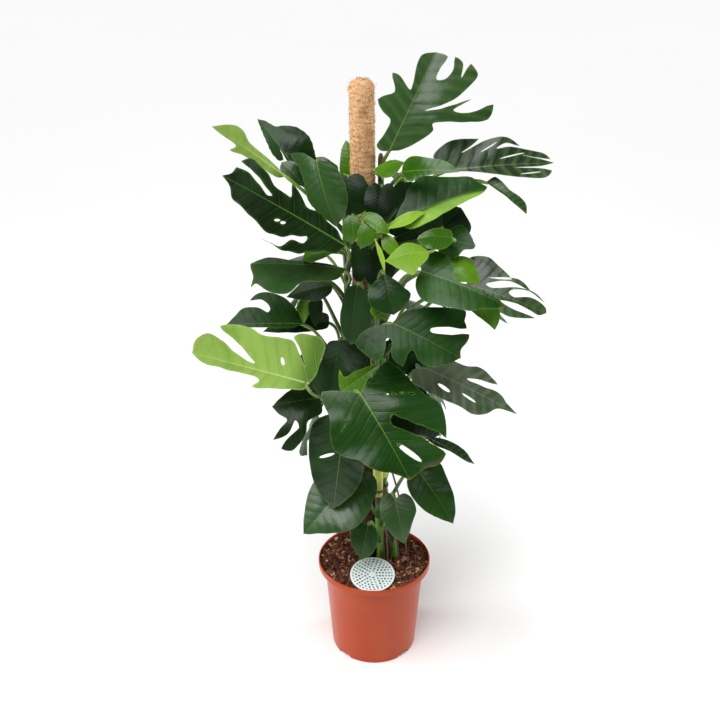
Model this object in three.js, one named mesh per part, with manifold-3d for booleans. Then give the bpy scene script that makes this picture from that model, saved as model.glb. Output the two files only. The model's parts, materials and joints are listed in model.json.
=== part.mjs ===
// Potted monstera on a coir pole. Millimetres, +Z up, front of the plant towards -Y,
// origin at the middle of the pot's underside.
import * as THREE from 'three';
import { mergeVertices } from 'three/addons/utils/BufferGeometryUtils.js';
import Module from 'manifold-3d';

const wasm = await Module();
wasm.setup();

// Clearance between pieces that touch
const GAP = 0.3;

// Pot
const POT = {
  height: 250, rimRadius: 137, bodyTopRadius: 121, baseRadius: 103, wall: 3,
  lipHeight: 17, lipBand: 4, edge: 2, flare: 4, draft: 1, floor: 12, cove: 4, segments: 36,
};
const FOOT = { height: 9, pad: 40, depth: 22, slope: 3, edge: 2, notchWidth: 36, count: 4 };
const DRAIN = { radius: 5, ring: 88, sides: 6 };

// Potting mix
const SOIL = { edge: 240, crown: 243, level: 0.6, clear: 1, segments: 24 };

// Pole: a rod in a coir sleeve
const POLE = {
  radius: 25.5, lump: 1.2, top: 1443, base: 60, sides: 12, pitch: 50, dome: 22,
  domeRings: [[0.35, 0.86], [0, 0.45]],
  foot: [-15, 15], head: [-32, 15], coreRadius: 8, coreBase: 30, coreTop: 1400, coreSides: 8,
};

// Vines: bearing round the pole and distance from its axis, at the mix and from settle height up
const VINE = { base: 120, settle: 480, sides: 7, pitch: 85, knuckle: 1.14 };
const VINES = {
  vine_front: { foot: [-37, 40], head: [-78, 39], top: 1215, radius: 11, tip: 6 },
  vine_right: { foot: [-5, 62], head: [-12, 39], top: 1285, radius: 11, tip: 6 },
  vine_back: { foot: [62, 42], head: [80, 39], top: 1250, radius: 10, tip: 6 },
  vine_left: { foot: [114, 42], head: [190, 39], top: 1240, radius: 11, tip: 6 },
};

// Bands that hold the vines to the pole
const TIE = { heights: [455, 675], width: 8, thickness: 1.6, clear: 0.5, steps: 20 };

// Plant label
const LABEL = {
  radius: 54, thickness: 1.2, centre: [-5, -77, 254], tilt: 12, sides: 28,
  pickWidth: 9, pickDepth: 2, pickLength: 80,
};

const BLADE = { thickness: 1.0, rib: 2.2, ribSteps: [0.8, 0.55, 0.28] };
const HOLE = { depth: 8, blunt: 0.4 };
const PETIOLE = {
  base: 5.2, end: 3, sides: 5, segments: 5, bury: 0.04, out: 0.25, rise: 0.35, back: 0.2, under: 0.15,
};

// Halves for leaves that the front view hides: out from the midrib and along it, in blade lengths
const HALF = {
  heart: [[0.16, -0.12], [0.32, -0.12], [0.43, 0.08], [0.42, 0.36], [0.28, 0.68], [0.12, 0.88]],
  cut: [
    [0.2, -0.14], [0.4, -0.1], [0.47, 0.1], [0.22, 0.1], [0.23, 0.13], [0.49, 0.24], [0.45, 0.44],
    [0.2, 0.3], [0.2, 0.34], [0.42, 0.58], [0.32, 0.72], [0.13, 0.55], [0.13, 0.6], [0.22, 0.86],
  ],
  torn: [
    [0.2, -0.14], [0.4, -0.1], [0.48, 0.14], [0.47, 0.34], [0.18, 0.24], [0.18, 0.29], [0.42, 0.54],
    [0.34, 0.7], [0.14, 0.52], [0.13, 0.57], [0.2, 0.86],
  ],
};

// Leaves. grow is the height on the vine; face is where the upper side looks; fold and curl are in
// degrees, bow in blade lengths. a is the half on the right with the tip up, b the other one, each
// from the junction to the tip, as out from the midrib and along it in blade lengths.
// holes: out (b side negative), along, half length, half width, angle to the midrib.
// young leaves are fused into their vine.
const LEAVES = {
  top_leaf: {
    vine: 'vine_right', grow: 1255, junction: [25, -50, 1310], tip: [120, 40, 1490],
    face: [0, -0.85, 0.3], fold: 8, curl: 20, bow: 0.06,
    a: [[0.09, 0.05], [0.18, 0.15], [0.28, 0.33], [0.25, 0.38], [0.71, 0.66], [0.7, 0.81],
      [0.52, 0.63], [0.37, 0.58], [0.48, 0.75], [0.26, 0.54], [0.14, 0.46], [0.32, 0.65],
      [0.42, 0.87], [0.44, 0.99], [0.34, 1.05], [0.31, 0.89], [0.27, 1.02], [0.18, 1.04],
      [0.21, 0.92], [0.18, 0.8], [0.11, 0.77], [0.1, 0.88], [0.12, 1.01]],
    b: [[0.07, -0.03], [0.13, 0], [0.11, 0.11], [0.11, 0.25], [0.21, 0.29], [0.3, 0.37],
      [0.19, 0.5], [0.28, 0.64], [0.22, 0.65], [0.07, 0.58], [0.07, 0.64], [0.11, 0.91]],
  },
  plume_leaf: {
    vine: 'vine_right', grow: 1120, junction: [140, -30, 1260], tip: [375, 20, 1260],
    face: [0.1, -0.6, 0.6], fold: 12, curl: 20, bow: 0.03,
    a: [[0.03, 0.18], [0.08, 0.43], [0.14, 0.69], [0.15, 0.89], [0.08, 0.96], [0.04, 0.7],
      [0.03, 0.62], [0.03, 0.85]],
    b: [[0.13, -0.08], [0.2, -0.01], [0.26, 0.11], [0.26, 0.35], [0.14, 0.17], [0.23, 0.39],
      [0.24, 0.58], [0.17, 0.7], [0.19, 0.57], [0.15, 0.49], [0.16, 0.63], [0.09, 0.91],
      [0.03, 0.97], [0.09, 0.7]],
  },
  drop_leaf: {
    vine: 'vine_right', grow: 1145, junction: [230, -15, 1230], tip: [315, -45, 1170],
    face: [0.2, -0.6, 0.7], fold: 20, curl: 40, bow: 0.1,
    a: [[0.04, 0.17], [0.05, 0.45], [0.05, 0.74]],
    b: [[0.18, 0.08], [0.12, 0.43], [0.14, 0.7], [0.13, 0.87]],
  },
  lit_leaf_a: {
    vine: 'vine_right', grow: 1185, junction: [50, -80, 1275], tip: [165, -120, 1290],
    face: [0.1, -0.75, 0.65], fold: 12, curl: 24, bow: 0.08, bend: [10, 0, 0],
    a: [[0.13, 0.11], [0.21, 0.21], [0.13, 0.33], [0.05, 0.77]],
    b: [[0.14, 0.03], [0.23, 0.15], [0.21, 0.5], [0.16, 0.77]],
  },
  lit_leaf_b: {
    vine: 'vine_right', grow: 1225, young: true, junction: [-5, -75, 1280], tip: [55, -105, 1305],
    face: [0, -0.6, 0.8], fold: 12, curl: 24, bow: 0.08,
    a: [[0.3, 0.22], [0.48, 0.5], [0.4, 0.8]], b: [[0.08, 0.3], [0.1, 0.7]],
  },
  fan_leaf: {
    vine: 'vine_right', grow: 1090, junction: [35, -110, 1180], tip: [230, -45, 1230],
    face: [-0.2, -0.7, 0.65], fold: 10, curl: 20, bow: 0.05,
    a: [[0.16, 0.11], [0.17, 0.26], [0.12, 0.52], [0.08, 0.76], [0.05, 0.93]],
    b: [[0.15, 0.16], [0.25, 0.27], [0.3, 0.41], [0.23, 0.66], [0.14, 0.89], [0.08, 0.93]],
  },
  dusk_leaf_a: {
    vine: 'vine_front', grow: 1140, junction: [10, -55, 1235], tip: [0, -86, 1170],
    face: [0, -0.85, 0.4], fold: 12, curl: 30, bow: 0.08,
    a: [[0.24, -0.08], [0.42, 0.15], [0.44, 0.52], [0.3, 0.86]],
    b: [[0.2, -0.12], [0.42, 0.07], [0.48, 0.44], [0.32, 0.8]],
  },
  dusk_leaf_b: {
    vine: 'vine_right', grow: 1160, junction: [60, -48, 1243], tip: [60, -50, 1170],
    face: [0, -0.85, 0.4], fold: 12, curl: 30, bow: 0.08,
    a: [[0.2, 0.0], [0.36, 0.25], [0.34, 0.65]],
    b: [[0.24, 0.02], [0.4, 0.34], [0.3, 0.72]],
  },
  dusk_leaf_c: {
    vine: 'vine_left', grow: 1160, junction: [-60, -38, 1250], tip: [-52, -66, 1172],
    face: [0, -0.8, 0.5], fold: 12, curl: 30, bow: 0.08,
    a: [[0.22, -0.1], [0.36, 0.15], [0.36, 0.56], [0.2, 0.85]],
    b: [[0.28, -0.06], [0.5, 0.3], [0.5, 0.6], [0.3, 0.9]],
  },
  core_leaf_a: {
    vine: 'vine_front', grow: 1030, junction: [15, -46, 1092], tip: [0, -52, 1003],
    face: [0.1, -0.9, 0.3], fold: 12, curl: 30, bow: 0.08,
    a: [[0.14, -0.08], [0.3, 0.12], [0.38, 0.5], [0.26, 0.84]],
    b: [[0.18, -0.06], [0.3, 0.1], [0.36, 0.44], [0.26, 0.8]],
  },
  core_leaf_b: {
    vine: 'vine_left', grow: 1004, junction: [-40, -35, 1098], tip: [-38, -48, 1010],
    face: [-0.1, -0.9, 0.3], fold: 12, curl: 30, bow: 0.08,
    a: [[0.12, -0.1], [0.16, 0.12], [0.16, 0.5], [0.1, 0.84]],
    b: [[0.16, -0.12], [0.26, 0.07], [0.26, 0.44], [0.18, 0.8]],
  },
  back_lit_leaf: {
    vine: 'vine_back', grow: 1140, junction: [-55, 45, 1215], tip: [-65, 80, 1290],
    face: [-0.2, -0.8, 0.5], fold: 10, curl: 20, bow: 0.06,
    a: [[0.23, 0.06], [0.26, 0.45], [0.19, 0.76]],
    b: [[0.23, 0.07], [0.2, 0.52], [0.12, 0.81]],
  },
  hump_leaf: {
    vine: 'vine_back', grow: 1120, young: true, junction: [-85, 80, 1205], tip: [-135, 110, 1240],
    face: [0, -0.5, 0.8], fold: 12, curl: 30, bow: 0.08,
    a: [[0.28, 0.22], [0.26, 0.52], [0.19, 0.8]],
    b: [[0.35, 0.17], [0.41, 0.6], [0.27, 0.9]],
  },
  slim_leaf: {
    vine: 'vine_left', grow: 1100, junction: [-190, -20, 1245], tip: [-335, -60, 1365],
    face: [0.2, 0.85, -0.3], fold: 14, curl: 30, bow: 0.06,
    a: [[0.07, 0.05], [0.09, 0.3], [0.09, 0.52], [0.12, 0.67], [0.04, 0.64], [0.02, 0.85]],
    b: [[0.03, 0.16], [0.05, 0.35], [0.08, 0.56], [0.14, 0.67], [0.15, 0.76], [0.09, 0.88]],
  },
  upper_left_leaf: {
    vine: 'vine_back', grow: 1090, junction: [-165, 30, 1230], tip: [-255, 100, 1330],
    face: [0.1, -0.7, 0.6], fold: 12, curl: 24, bow: 0.08,
    a: [[0.16, -0.03], [0.32, 0.03], [0.38, 0.17], [0.42, 0.34], [0.37, 0.56], [0.25, 0.68],
      [0.13, 0.75], [0.07, 0.9]],
    b: [[0.05, 0.1], [0.04, 0.22], [0.02, 0.44], [0.07, 0.28], [0.13, 0.3], [0.16, 0.43],
      [0.12, 0.62], [0.06, 0.83]],
  },
  sheen_leaf: {
    vine: 'vine_left', grow: 1180, junction: [-125, -40, 1285], tip: [-85, -90, 1160],
    face: [-0.3, -0.75, 0.5], fold: 10, curl: 30, bow: 0.08,
    a: [[0.18, -0.17], [0.39, -0.22], [0.29, -0.01], [0.26, 0.26], [0.26, 0.54], [0.16, 0.77]],
    b: [[0.16, 0.06], [0.3, 0.25], [0.34, 0.54], [0.27, 0.77], [0.15, 0.91]],
  },
  grey_leaf_a: {
    vine: 'vine_left', grow: 1060, young: true, junction: [-150, -10, 1215], tip: [-200, 10, 1265],
    face: [0, -0.7, 0.7], fold: 10, curl: 26, bow: 0.08,
    a: [[0.21, 0.26], [0.32, 0.58], [0.21, 0.84]],
    b: [[0.13, 0.24], [0.25, 0.58], [0.19, 0.88]],
  },
  big_left_leaf: {
    vine: 'vine_left', grow: 990, junction: [-65, -120, 1130], tip: [-310, -140, 1290],
    face: [-0.15, -0.75, 0.6], fold: 6, curl: 14, bow: 0.04,
    a: [[0.06, 0.12], [0.1, 0.28], [0.1, 0.38], [0.14, 0.46], [0.18, 0.55], [0.1, 0.52],
      [0.11, 0.64], [0.17, 0.76], [0.2, 0.86], [0.15, 0.93], [0.12, 0.79], [0.07, 0.71],
      [0.05, 0.64], [0.03, 0.67], [0.07, 0.75], [0.1, 0.84], [0.1, 0.94], [0.04, 0.95]],
    b: [[0.07, 0.03], [0.15, 0.19], [0.23, 0.31], [0.25, 0.42], [0.25, 0.58], [0.24, 0.44],
      [0.17, 0.38], [0.14, 0.29], [0.09, 0.28], [0.12, 0.35], [0.2, 0.53], [0.17, 0.64],
      [0.15, 0.76], [0.11, 0.86], [0.03, 0.94]],
    holes: [[-0.09, 0.53, 0.022, 0.009, 30], [-0.085, 0.485, 0.02, 0.01, 30]],
  },
  under_leaf: {
    vine: 'vine_left', grow: 1030, young: true, junction: [-90, -80, 1100], tip: [-155, -90, 1085],
    face: [0, -0.4, 0.9], fold: 12, curl: 26, bow: 0.08,
    a: [[0.08, 0.41], [0.3, 0.83]], b: [[0.25, 0.36], [0.3, 0.76]],
  },
  fluted_leaf: {
    vine: 'vine_left', grow: 960, junction: [-65, -80, 1060], tip: [-265, -100, 1080],
    face: [0, -0.4, 0.8], fold: 10, curl: 20, bow: 0.03, bend: [0, 0, -10],
    a: [[0.03, 0.17], [0.05, 0.38], [0.05, 0.58], [0.08, 0.82], [0.06, 0.88]],
    b: [[0.16, 0.09], [0.23, 0.28], [0.26, 0.46], [0.41, 0.63], [0.38, 0.78], [0.26, 0.94],
      [0.31, 0.99], [0.18, 0.97], [0.09, 0.99]],
  },
  round_leaf: {
    vine: 'vine_left', grow: 940, junction: [-95, -30, 1000], tip: [-195, -40, 975],
    face: [0, -0.5, 0.85], fold: 10, curl: 20, bow: 0.06, bend: [0, 0, -15],
    a: [[0.15, 0.19], [0.22, 0.54], [0.1, 0.78]], b: [[0.2, 0.06], [0.33, 0.28], [0.26, 0.65]],
  },
  hang_leaf_a: {
    vine: 'vine_left', grow: 922, young: true, junction: [-160, 10, 950], tip: [-160, 0, 890],
    face: [-0.2, -0.9, 0.2], fold: 12, curl: 20, bow: 0.08, bend: [0, 35, 30],
    a: [[0.21, 0.17], [0.21, 0.61]], b: [[0.2, 0.08], [0.25, 0.47]],
  },
  hang_leaf_b: {
    vine: 'vine_left', grow: 905, young: true, junction: [-130, -5, 960], tip: [-135, -15, 890],
    face: [0, -0.9, 0.2], fold: 12, curl: 20, bow: 0.08, bend: [0, 30, 30],
    a: [[0.21, 0.11], [0.21, 0.56]], b: [[0.17, 0.12], [0.18, 0.7]],
  },
  slit_leaf: {
    vine: 'vine_left', grow: 720, junction: [-160, -40, 910], tip: [-330, -60, 915],
    face: [0, -0.7, 0.7], fold: 8, curl: 20, bow: 0.05,
    a: [[0.17, 0.07], [0.27, 0.15], [0.36, 0.25], [0.43, 0.4], [0.42, 0.56], [0.32, 0.67],
      [0.33, 0.52], [0.19, 0.42], [0.14, 0.45], [0.21, 0.57], [0.22, 0.74], [0.12, 0.87]],
    b: [[0.06, 0.15], [0.06, 0.46], [0.04, 0.73]],
  },
  pale_leaf: {
    vine: 'vine_left', grow: 700, junction: [-145, -140, 815], tip: [-390, -170, 905],
    face: [0.2, 0.8, -0.4], fold: 4, curl: 16, bow: 0.04, bend: [-30, -30, -30],
    a: [[0.05, 0.02], [0.1, 0.18], [0.13, 0.34], [0.15, 0.45], [0.08, 0.4], [0.06, 0.6], [0.06, 0.87]],
    b: [[0.11, -0.04], [0.35, -0.03], [0.4, 0.03], [0.38, 0.16], [0.33, 0.23], [0.26, 0.15],
      [0.13, 0.07], [0.23, 0.15], [0.3, 0.23], [0.31, 0.34], [0.29, 0.51], [0.32, 0.6],
      [0.3, 0.77], [0.26, 0.83], [0.19, 0.69], [0.12, 0.59], [0.05, 0.48], [0.07, 0.62],
      [0.16, 0.78], [0.18, 0.94], [0.13, 1]],
    holes: [[-0.12, 0.26, 0.035, 0.014, 60]],
  },
  claw_leaf: {
    vine: 'vine_left', grow: 540, junction: [-125, -80, 745], tip: [-230, -110, 740],
    face: [-0.1, -0.7, 0.7], fold: 10, curl: 26, bow: 0.06,
    a: [[0.23, 0.14], [0.31, 0.37], [0.23, 0.64]],
    b: [[0.31, 0.02], [0.47, 0.36], [0.7, 0.44], [1, 0.76], [0.9, 0.98], [0.71, 0.81],
      [0.54, 0.56], [0.4, 0.61], [0.63, 0.8], [0.68, 1.11], [0.46, 0.91], [0.35, 0.77], [0.19, 0.9]],
  },
  veil_leaf: {
    vine: 'vine_left', grow: 480, junction: [-65, -70, 705], tip: [-95, -140, 490],
    face: [-0.1, -0.85, 0.4], fold: 8, curl: 24, bow: 0.06,
    a: [[0.16, 0.05], [0.3, 0.14], [0.33, 0.32], [0.29, 0.58], [0.16, 0.86], [0.06, 0.95]],
    b: [[0.15, 0.06], [0.25, 0.29], [0.25, 0.55], [0.23, 0.68], [0.16, 0.83], [0.07, 0.94]],
    holes: [[0.13, 0.46, 0.08, 0.016, 65]],
  },
  apron_leaf: {
    vine: 'vine_front', grow: 375, junction: [-40, -60, 530], tip: [-165, -150, 425],
    face: [-0.2, -0.8, 0.5], fold: 10, curl: 22, bow: 0.06, bend: [-5, -15, 0],
    a: [[0.2, 0.03], [0.33, 0.24], [0.33, 0.48], [0.24, 0.69], [0.11, 0.87]],
    b: [[0.09, -0.12], [0.27, -0.06], [0.37, 0.11], [0.45, 0.43], [0.38, 0.64], [0.2, 0.82]],
  },
  front_leaf: {
    vine: 'vine_front', grow: 560, junction: [-35, -200, 825], tip: [70, -290, 665],
    face: [0.05, -0.65, 0.75], fold: 8, curl: 22, bow: 0.06,
    a: [[0.12, -0.09], [0.32, -0.2], [0.38, -0.08], [0.41, 0.08], [0.49, 0.22], [0.52, 0.35],
      [0.47, 0.47], [0.37, 0.56], [0.27, 0.74], [0.11, 0.87]],
    b: [[0.11, -0.05], [0.27, -0.11], [0.44, -0.15], [0.52, 0.08], [0.56, 0.28], [0.67, 0.49],
      [0.67, 0.6], [0.55, 0.83], [0.5, 0.72], [0.36, 0.58], [0.15, 0.35], [0.11, 0.43],
      [0.22, 0.56], [0.33, 0.72], [0.42, 0.87], [0.46, 0.96], [0.32, 1.01], [0.18, 0.98]],
    holes: [[-0.19, 0.66, 0.1, 0.014, 25], [-0.22, 0.14, 0.03, 0.008, 65], [-0.28, 0.17, 0.03, 0.008, 60],
      [0.2, 0.3, 0.025, 0.008, 60]],
  },
  fold_leaf: {
    vine: 'vine_front', grow: 640, junction: [-75, -115, 780], tip: [10, -105, 845],
    face: [-0.2, -0.8, 0.5], fold: 20, curl: 30, bow: 0.06,
    a: [[0.19, 0.17], [0.25, 0.36], [0.13, 0.62], [0.06, 0.8]],
    b: [[0.1, 0.02], [0.39, 0.24], [0.22, 0.24], [0.17, 0.52], [0.1, 0.76]],
  },
  table_leaf: {
    vine: 'vine_front', grow: 760, junction: [35, -180, 980], tip: [175, -210, 915],
    face: [0.1, -0.8, 0.6], fold: 6, curl: 18, bow: 0.04,
    a: [[0.1, -0.15], [0.24, -0.29], [0.45, -0.34], [0.53, -0.16], [0.57, 0.02], [0.47, 0.07],
      [0.22, 0.01], [0.22, 0.07], [0.42, 0.18], [0.46, 0.36], [0.29, 0.35], [0.21, 0.38],
      [0.3, 0.53], [0.29, 0.71], [0.16, 0.88]],
    b: [[0.16, 0.04], [0.3, 0.16], [0.54, 0.58], [0.62, 0.79], [0.49, 0.83], [0.4, 0.9],
      [0.29, 0.66], [0.15, 0.47], [0.12, 0.49], [0.21, 0.73], [0.34, 0.96], [0.23, 0.98],
      [0.09, 0.95]],
  },
  grey_leaf: {
    vine: 'vine_right', grow: 620, junction: [110, -60, 810], tip: [315, -100, 715],
    face: [0.15, -0.7, 0.7], fold: 8, curl: 20, bow: 0.04,
    a: [[0.07, -0.1], [0.19, -0.06], [0.22, 0.09], [0.22, 0.28], [0.21, 0.43], [0.22, 0.58],
      [0.16, 0.71], [0.05, 0.8]],
    b: [[0.12, 0.06], [0.17, 0.19], [0.19, 0.35], [0.24, 0.46], [0.22, 0.58], [0.16, 0.7],
      [0.13, 0.53], [0.08, 0.41], [0.08, 0.57], [0.1, 0.73], [0.04, 0.88]],
    holes: [[0.11, 0.24, 0.07, 0.02, 10], [0.09, 0.5, 0.08, 0.012, 8]],
  },
  edge_leaf: {
    vine: 'vine_right', grow: 520, junction: [110, -80, 645], tip: [225, -110, 590],
    face: [0.2, -0.6, 0.7], fold: 30, curl: 20, bow: 0.05,
    a: [[0.09, 0.23], [0.05, 0.51], [0.06, 0.84]], b: [[0.09, 0.22], [0.13, 0.47], [0.11, 0.72]],
  },
  heart_leaf_a: {
    vine: 'vine_right', grow: 400, junction: [100, -80, 550], tip: [180, -130, 440],
    face: [0.2, -0.75, 0.6], fold: 12, curl: 24, bow: 0.07,
    a: [[0.16, -0.06], [0.27, 0.05], [0.34, 0.25], [0.3, 0.55], [0.12, 0.85]],
    b: [[0.22, -0.02], [0.36, 0.08], [0.32, 0.35], [0.24, 0.61], [0.12, 0.86]],
  },
  heart_leaf_b: {
    vine: 'vine_front', grow: 350, junction: [45, -140, 515], tip: [65, -180, 420],
    face: [0, -0.85, 0.5], fold: 12, curl: 26, bow: 0.08,
    a: [[0.11, -0.15], [0.25, -0.09], [0.36, 0.1], [0.35, 0.4], [0.22, 0.74]],
    b: [[0.19, -0.09], [0.35, 0.02], [0.4, 0.31], [0.25, 0.59], [0.12, 0.86]],
  },
  heart_leaf_c: {
    vine: 'vine_front', grow: 300, junction: [-15, -80, 402], tip: [-30, -100, 315],
    face: [-0.2, -0.85, 0.4], fold: 12, curl: 26, bow: 0.08,
    a: [[0.24, 0.0], [0.4, 0.4], [0.22, 0.78]], b: [[0.2, 0.02], [0.34, 0.34], [0.24, 0.74]],
  },
  lime_leaf: {
    vine: 'vine_right', grow: 1020, junction: [105, -190, 1145], tip: [15, -210, 1135],
    face: [-0.1, -0.6, 0.8], fold: 12, curl: 26, bow: 0.1, bend: [0, 0, 25],
    a: [[0.18, 0.2], [0.27, 0.47], [0.18, 0.71], [0.05, 0.9]],
    b: [[0.19, 0.11], [0.37, 0.34], [0.53, 0.52], [0.36, 0.72], [0.17, 0.89]],
  },
  gloss_leaf: {
    vine: 'vine_right', grow: 1050, junction: [155, -140, 1155], tip: [80, -160, 1160],
    face: [0, -0.5, 0.85], fold: 14, curl: 34, bow: 0.1,
    a: [[0.22, 0.01], [0.27, 0.27], [0.21, 0.62], [0.11, 0.9]],
    b: [[0.28, 0.17], [0.42, 0.45], [0.34, 0.84]],
  },
  lobe_leaf_a: {
    vine: 'vine_right', grow: 1000, junction: [140, -40, 1140], tip: [180, -10, 1170],
    face: [0.2, -0.8, 0.6], fold: 12, curl: 26, bow: 0.08,
    a: [[0.5, 0.0], [0.95, 0.3], [0.8, 0.75], [0.3, 0.9]], b: [[0.36, 0.31], [0.34, 0.72]],
  },
  lobe_leaf_b: {
    vine: 'vine_right', grow: 980, junction: [145, -80, 1125], tip: [205, -110, 1125],
    face: [0.2, -0.75, 0.6], fold: 12, curl: 26, bow: 0.08,
    a: [[0.5, -0.15], [0.62, 0.15], [0.51, 0.56], [0.24, 0.71], [0.13, 0.96]],
    b: [[0.4, 0.05], [0.59, 0.33], [0.32, 0.73]],
  },
  wing_leaf: {
    vine: 'vine_right', grow: 880, junction: [90, -170, 1095], tip: [260, -220, 1040],
    face: [0.1, -0.7, 0.75], fold: 10, curl: 26, bow: 0.06,
    a: [[0.13, -0.01], [0.25, 0.05], [0.33, 0.15], [0.33, 0.3], [0.25, 0.67], [0.15, 0.8],
      [0.07, 0.94]],
    b: [[0.2, -0.08], [0.29, 0.07], [0.27, 0.21], [0.16, 0.32], [0.04, 0.38], [0.03, 0.55],
      [0.03, 0.71], [0.03, 0.9]],
  },
  glow_leaf_a: {
    vine: 'vine_right', grow: 930, junction: [150, -130, 1080], tip: [215, -140, 1050],
    face: [0.2, -0.7, 0.7], fold: 10, curl: 40, bow: 0.08,
    a: [[0.31, 0.18], [0.16, 0.58]], b: [[0.34, -0.12], [0.67, 0.15], [0.92, 0.45], [0.39, 0.71]],
  },
  glow_leaf_b: {
    vine: 'vine_right', grow: 850, junction: [200, -170, 1035], tip: [245, -190, 970],
    face: [0.2, -0.8, 0.5], fold: 16, curl: 20, bow: 0.08,
    a: [[0.3, 0.03], [0.25, 0.34], [0.11, 0.71]], b: [[0.26, 0.19], [0.37, 0.58], [0.2, 0.86]],
  },
  ray_leaf: {
    vine: 'vine_right', grow: 800, junction: [195, -60, 1015], tip: [365, -90, 960],
    face: [0.15, -0.7, 0.7], fold: 8, curl: 16, bow: 0.04,
    a: [[0.14, 0.08], [0.23, 0.33], [0.29, 0.47], [0.32, 0.6], [0.22, 0.46], [0.23, 0.6],
      [0.13, 0.89], [0.12, 0.59], [0.07, 0.43], [0.03, 0.62], [0.05, 0.8], [0.07, 0.91]],
    b: [[0.19, -0.08], [0.34, -0.07], [0.4, 0.14], [0.35, 0.26], [0.24, 0.48], [0.15, 0.17],
      [0.27, 0.55], [0.18, 0.74], [0.21, 0.47], [0.13, 0.28], [0.07, 0.21], [0.05, 0.27],
      [0.17, 0.6], [0.18, 0.79], [0.11, 0.95], [0.17, 0.71], [0.11, 0.53], [0.06, 0.5],
      [0.03, 0.57], [0.1, 0.76], [0.09, 0.9], [0.05, 0.98]],
  },
  mid_heart_leaf: {
    vine: 'vine_front', grow: 920, junction: [15, -140, 1075], tip: [35, -180, 1000],
    face: [0, -0.85, 0.5], fold: 14, curl: 30, bow: 0.1,
    a: [[0.23, 0.1], [0.48, 0.36], [0.5, 0.64], [0.33, 0.85]],
    b: [[0.2, 0.18], [0.38, 0.42], [0.51, 0.61], [0.31, 0.86]],
  },
  curl_leaf: {
    vine: 'vine_front', grow: 860, junction: [-10, -150, 1010], tip: [20, -150, 972],
    face: [0, -0.8, 0.6], fold: 25, curl: 50, bow: 0.1, bend: [25, 0, 0],
    a: [[0.28, 0.15], [0.31, 0.53]], b: [[0.18, 0.24], [0.26, 0.61], [0.15, 0.88]],
  },
  inner_leaf_a: {
    vine: 'vine_front', grow: 890, junction: [-40, -85, 1025], tip: [-55, -100, 890],
    face: [-0.2, -0.9, 0.2], fold: 14, curl: 30, bow: 0.06,
    a: [[0.14, 0.05], [0.2, 0.45], [0.14, 0.82]], b: [[0.2, 0.1], [0.29, 0.42], [0.26, 0.8]],
  },
  inner_leaf_b: {
    vine: 'vine_left', grow: 860, young: true, junction: [-65, -80, 985], tip: [-70, -90, 895],
    face: [-0.2, -0.9, 0.2], fold: 14, curl: 30, bow: 0.06,
    a: [[0.1, 0.22], [0.08, 0.67]], b: [[0.17, 0.19], [0.18, 0.64]],
  },
  shade_leaf: {
    vine: 'vine_left', grow: 760, junction: [-80, -40, 870], tip: [-95, -90, 760],
    face: [-0.2, -0.9, 0.3], fold: 12, curl: 26, bow: 0.08,
    a: [[0.19, 0.06], [0.26, 0.4], [0.18, 0.76]], b: [[0.3, 0.0], [0.54, 0.3], [0.48, 0.72], [0.2, 0.96]],
  },
  bud_a: {
    vine: 'vine_front', grow: 1115, young: true, junction: [-50, -140, 1205], tip: [-50, -160, 1150],
    face: [0, -0.85, 0.5], fold: 10, curl: 30, bow: 0.1, bend: [0, 0, -25],
    a: [[0.23, 0.09], [0.37, 0.47], [0.26, 0.82]], b: [[0.19, 0.13], [0.29, 0.54]],
  },
  bud_b: {
    vine: 'vine_front', grow: 1100, young: true, junction: [-30, -165, 1200], tip: [-35, -185, 1150],
    face: [0, -0.85, 0.5], fold: 10, curl: 30, bow: 0.1, bend: [0, 0, -25],
    a: [[0.14, 0.34], [0.1, 0.74]], b: [[0.3, 0.19], [0.65, 0.49], [0.36, 0.78]],
  },
  bud_c: {
    vine: 'vine_front', grow: 1125, young: true, junction: [-35, -135, 1205], tip: [25, -165, 1175],
    face: [0, -0.7, 0.7], fold: 10, curl: 30, bow: 0.1, bend: [0, 0, -25],
    a: [[0.12, 0.25], [0.18, 0.53], [0.15, 0.81]], b: [[0.19, 0.21], [0.24, 0.47], [0.17, 0.75]],
  },
  bud_d: {
    vine: 'vine_front', grow: 1090, young: true, junction: [-5, -180, 1170], tip: [15, -200, 1105],
    face: [0, -0.85, 0.5], fold: 30, curl: 30, bow: 0.1, bend: [0, 0, -25],
    a: [[0.04, 0.31], [0.04, 0.64]], b: [[0.09, 0.31], [0.11, 0.64]],
  },
  bud_e: {
    vine: 'vine_front', grow: 1080, young: true, junction: [10, -150, 1170], tip: [45, -170, 1125],
    face: [0, -0.85, 0.5], fold: 14, curl: 30, bow: 0.1, bend: [0, 0, -25],
    a: [[0.27, 0.35], [0.22, 0.75]], b: [[0.18, 0.25], [0.2, 0.68]],
  },
  bud_f: {
    vine: 'vine_front', grow: 1135, young: true, junction: [20, -130, 1170], tip: [100, -110, 1200],
    face: [0, -0.6, 0.8], fold: 25, curl: 30, bow: 0.1, bend: [0, 0, -25],
    a: [[0.16, 0.28], [0.19, 0.6]], b: [[0.12, 0.35], [0.11, 0.72]],
  },
  back_leaf_a: {
    vine: 'vine_right', grow: 1000, young: true, junction: [45, 70, 1070], tip: [175, 110, 1110],
    face: [0.1, -0.9, 0.5], fold: 12, curl: 26, bow: 0.08,
    a: HALF.heart, b: HALF.heart,
  },
  back_leaf_b: {
    vine: 'vine_left', grow: 690, young: true, junction: [-105, 60, 865], tip: [-260, 90, 825],
    face: [0, -0.5, 0.85], fold: 12, curl: 26, bow: 0.08,
    a: [[0.12, 0.02], [0.17, 0.3], [0.12, 0.7]], b: [[0.12, 0.02], [0.17, 0.3], [0.12, 0.7]],
  },
  back_leaf_c: {
    vine: 'vine_right', grow: 560, young: true, junction: [45, 80, 640], tip: [165, 95, 545],
    face: [0.2, -0.9, 0.4], fold: 12, curl: 26, bow: 0.08,
    a: HALF.heart, b: HALF.heart,
  },
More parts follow.
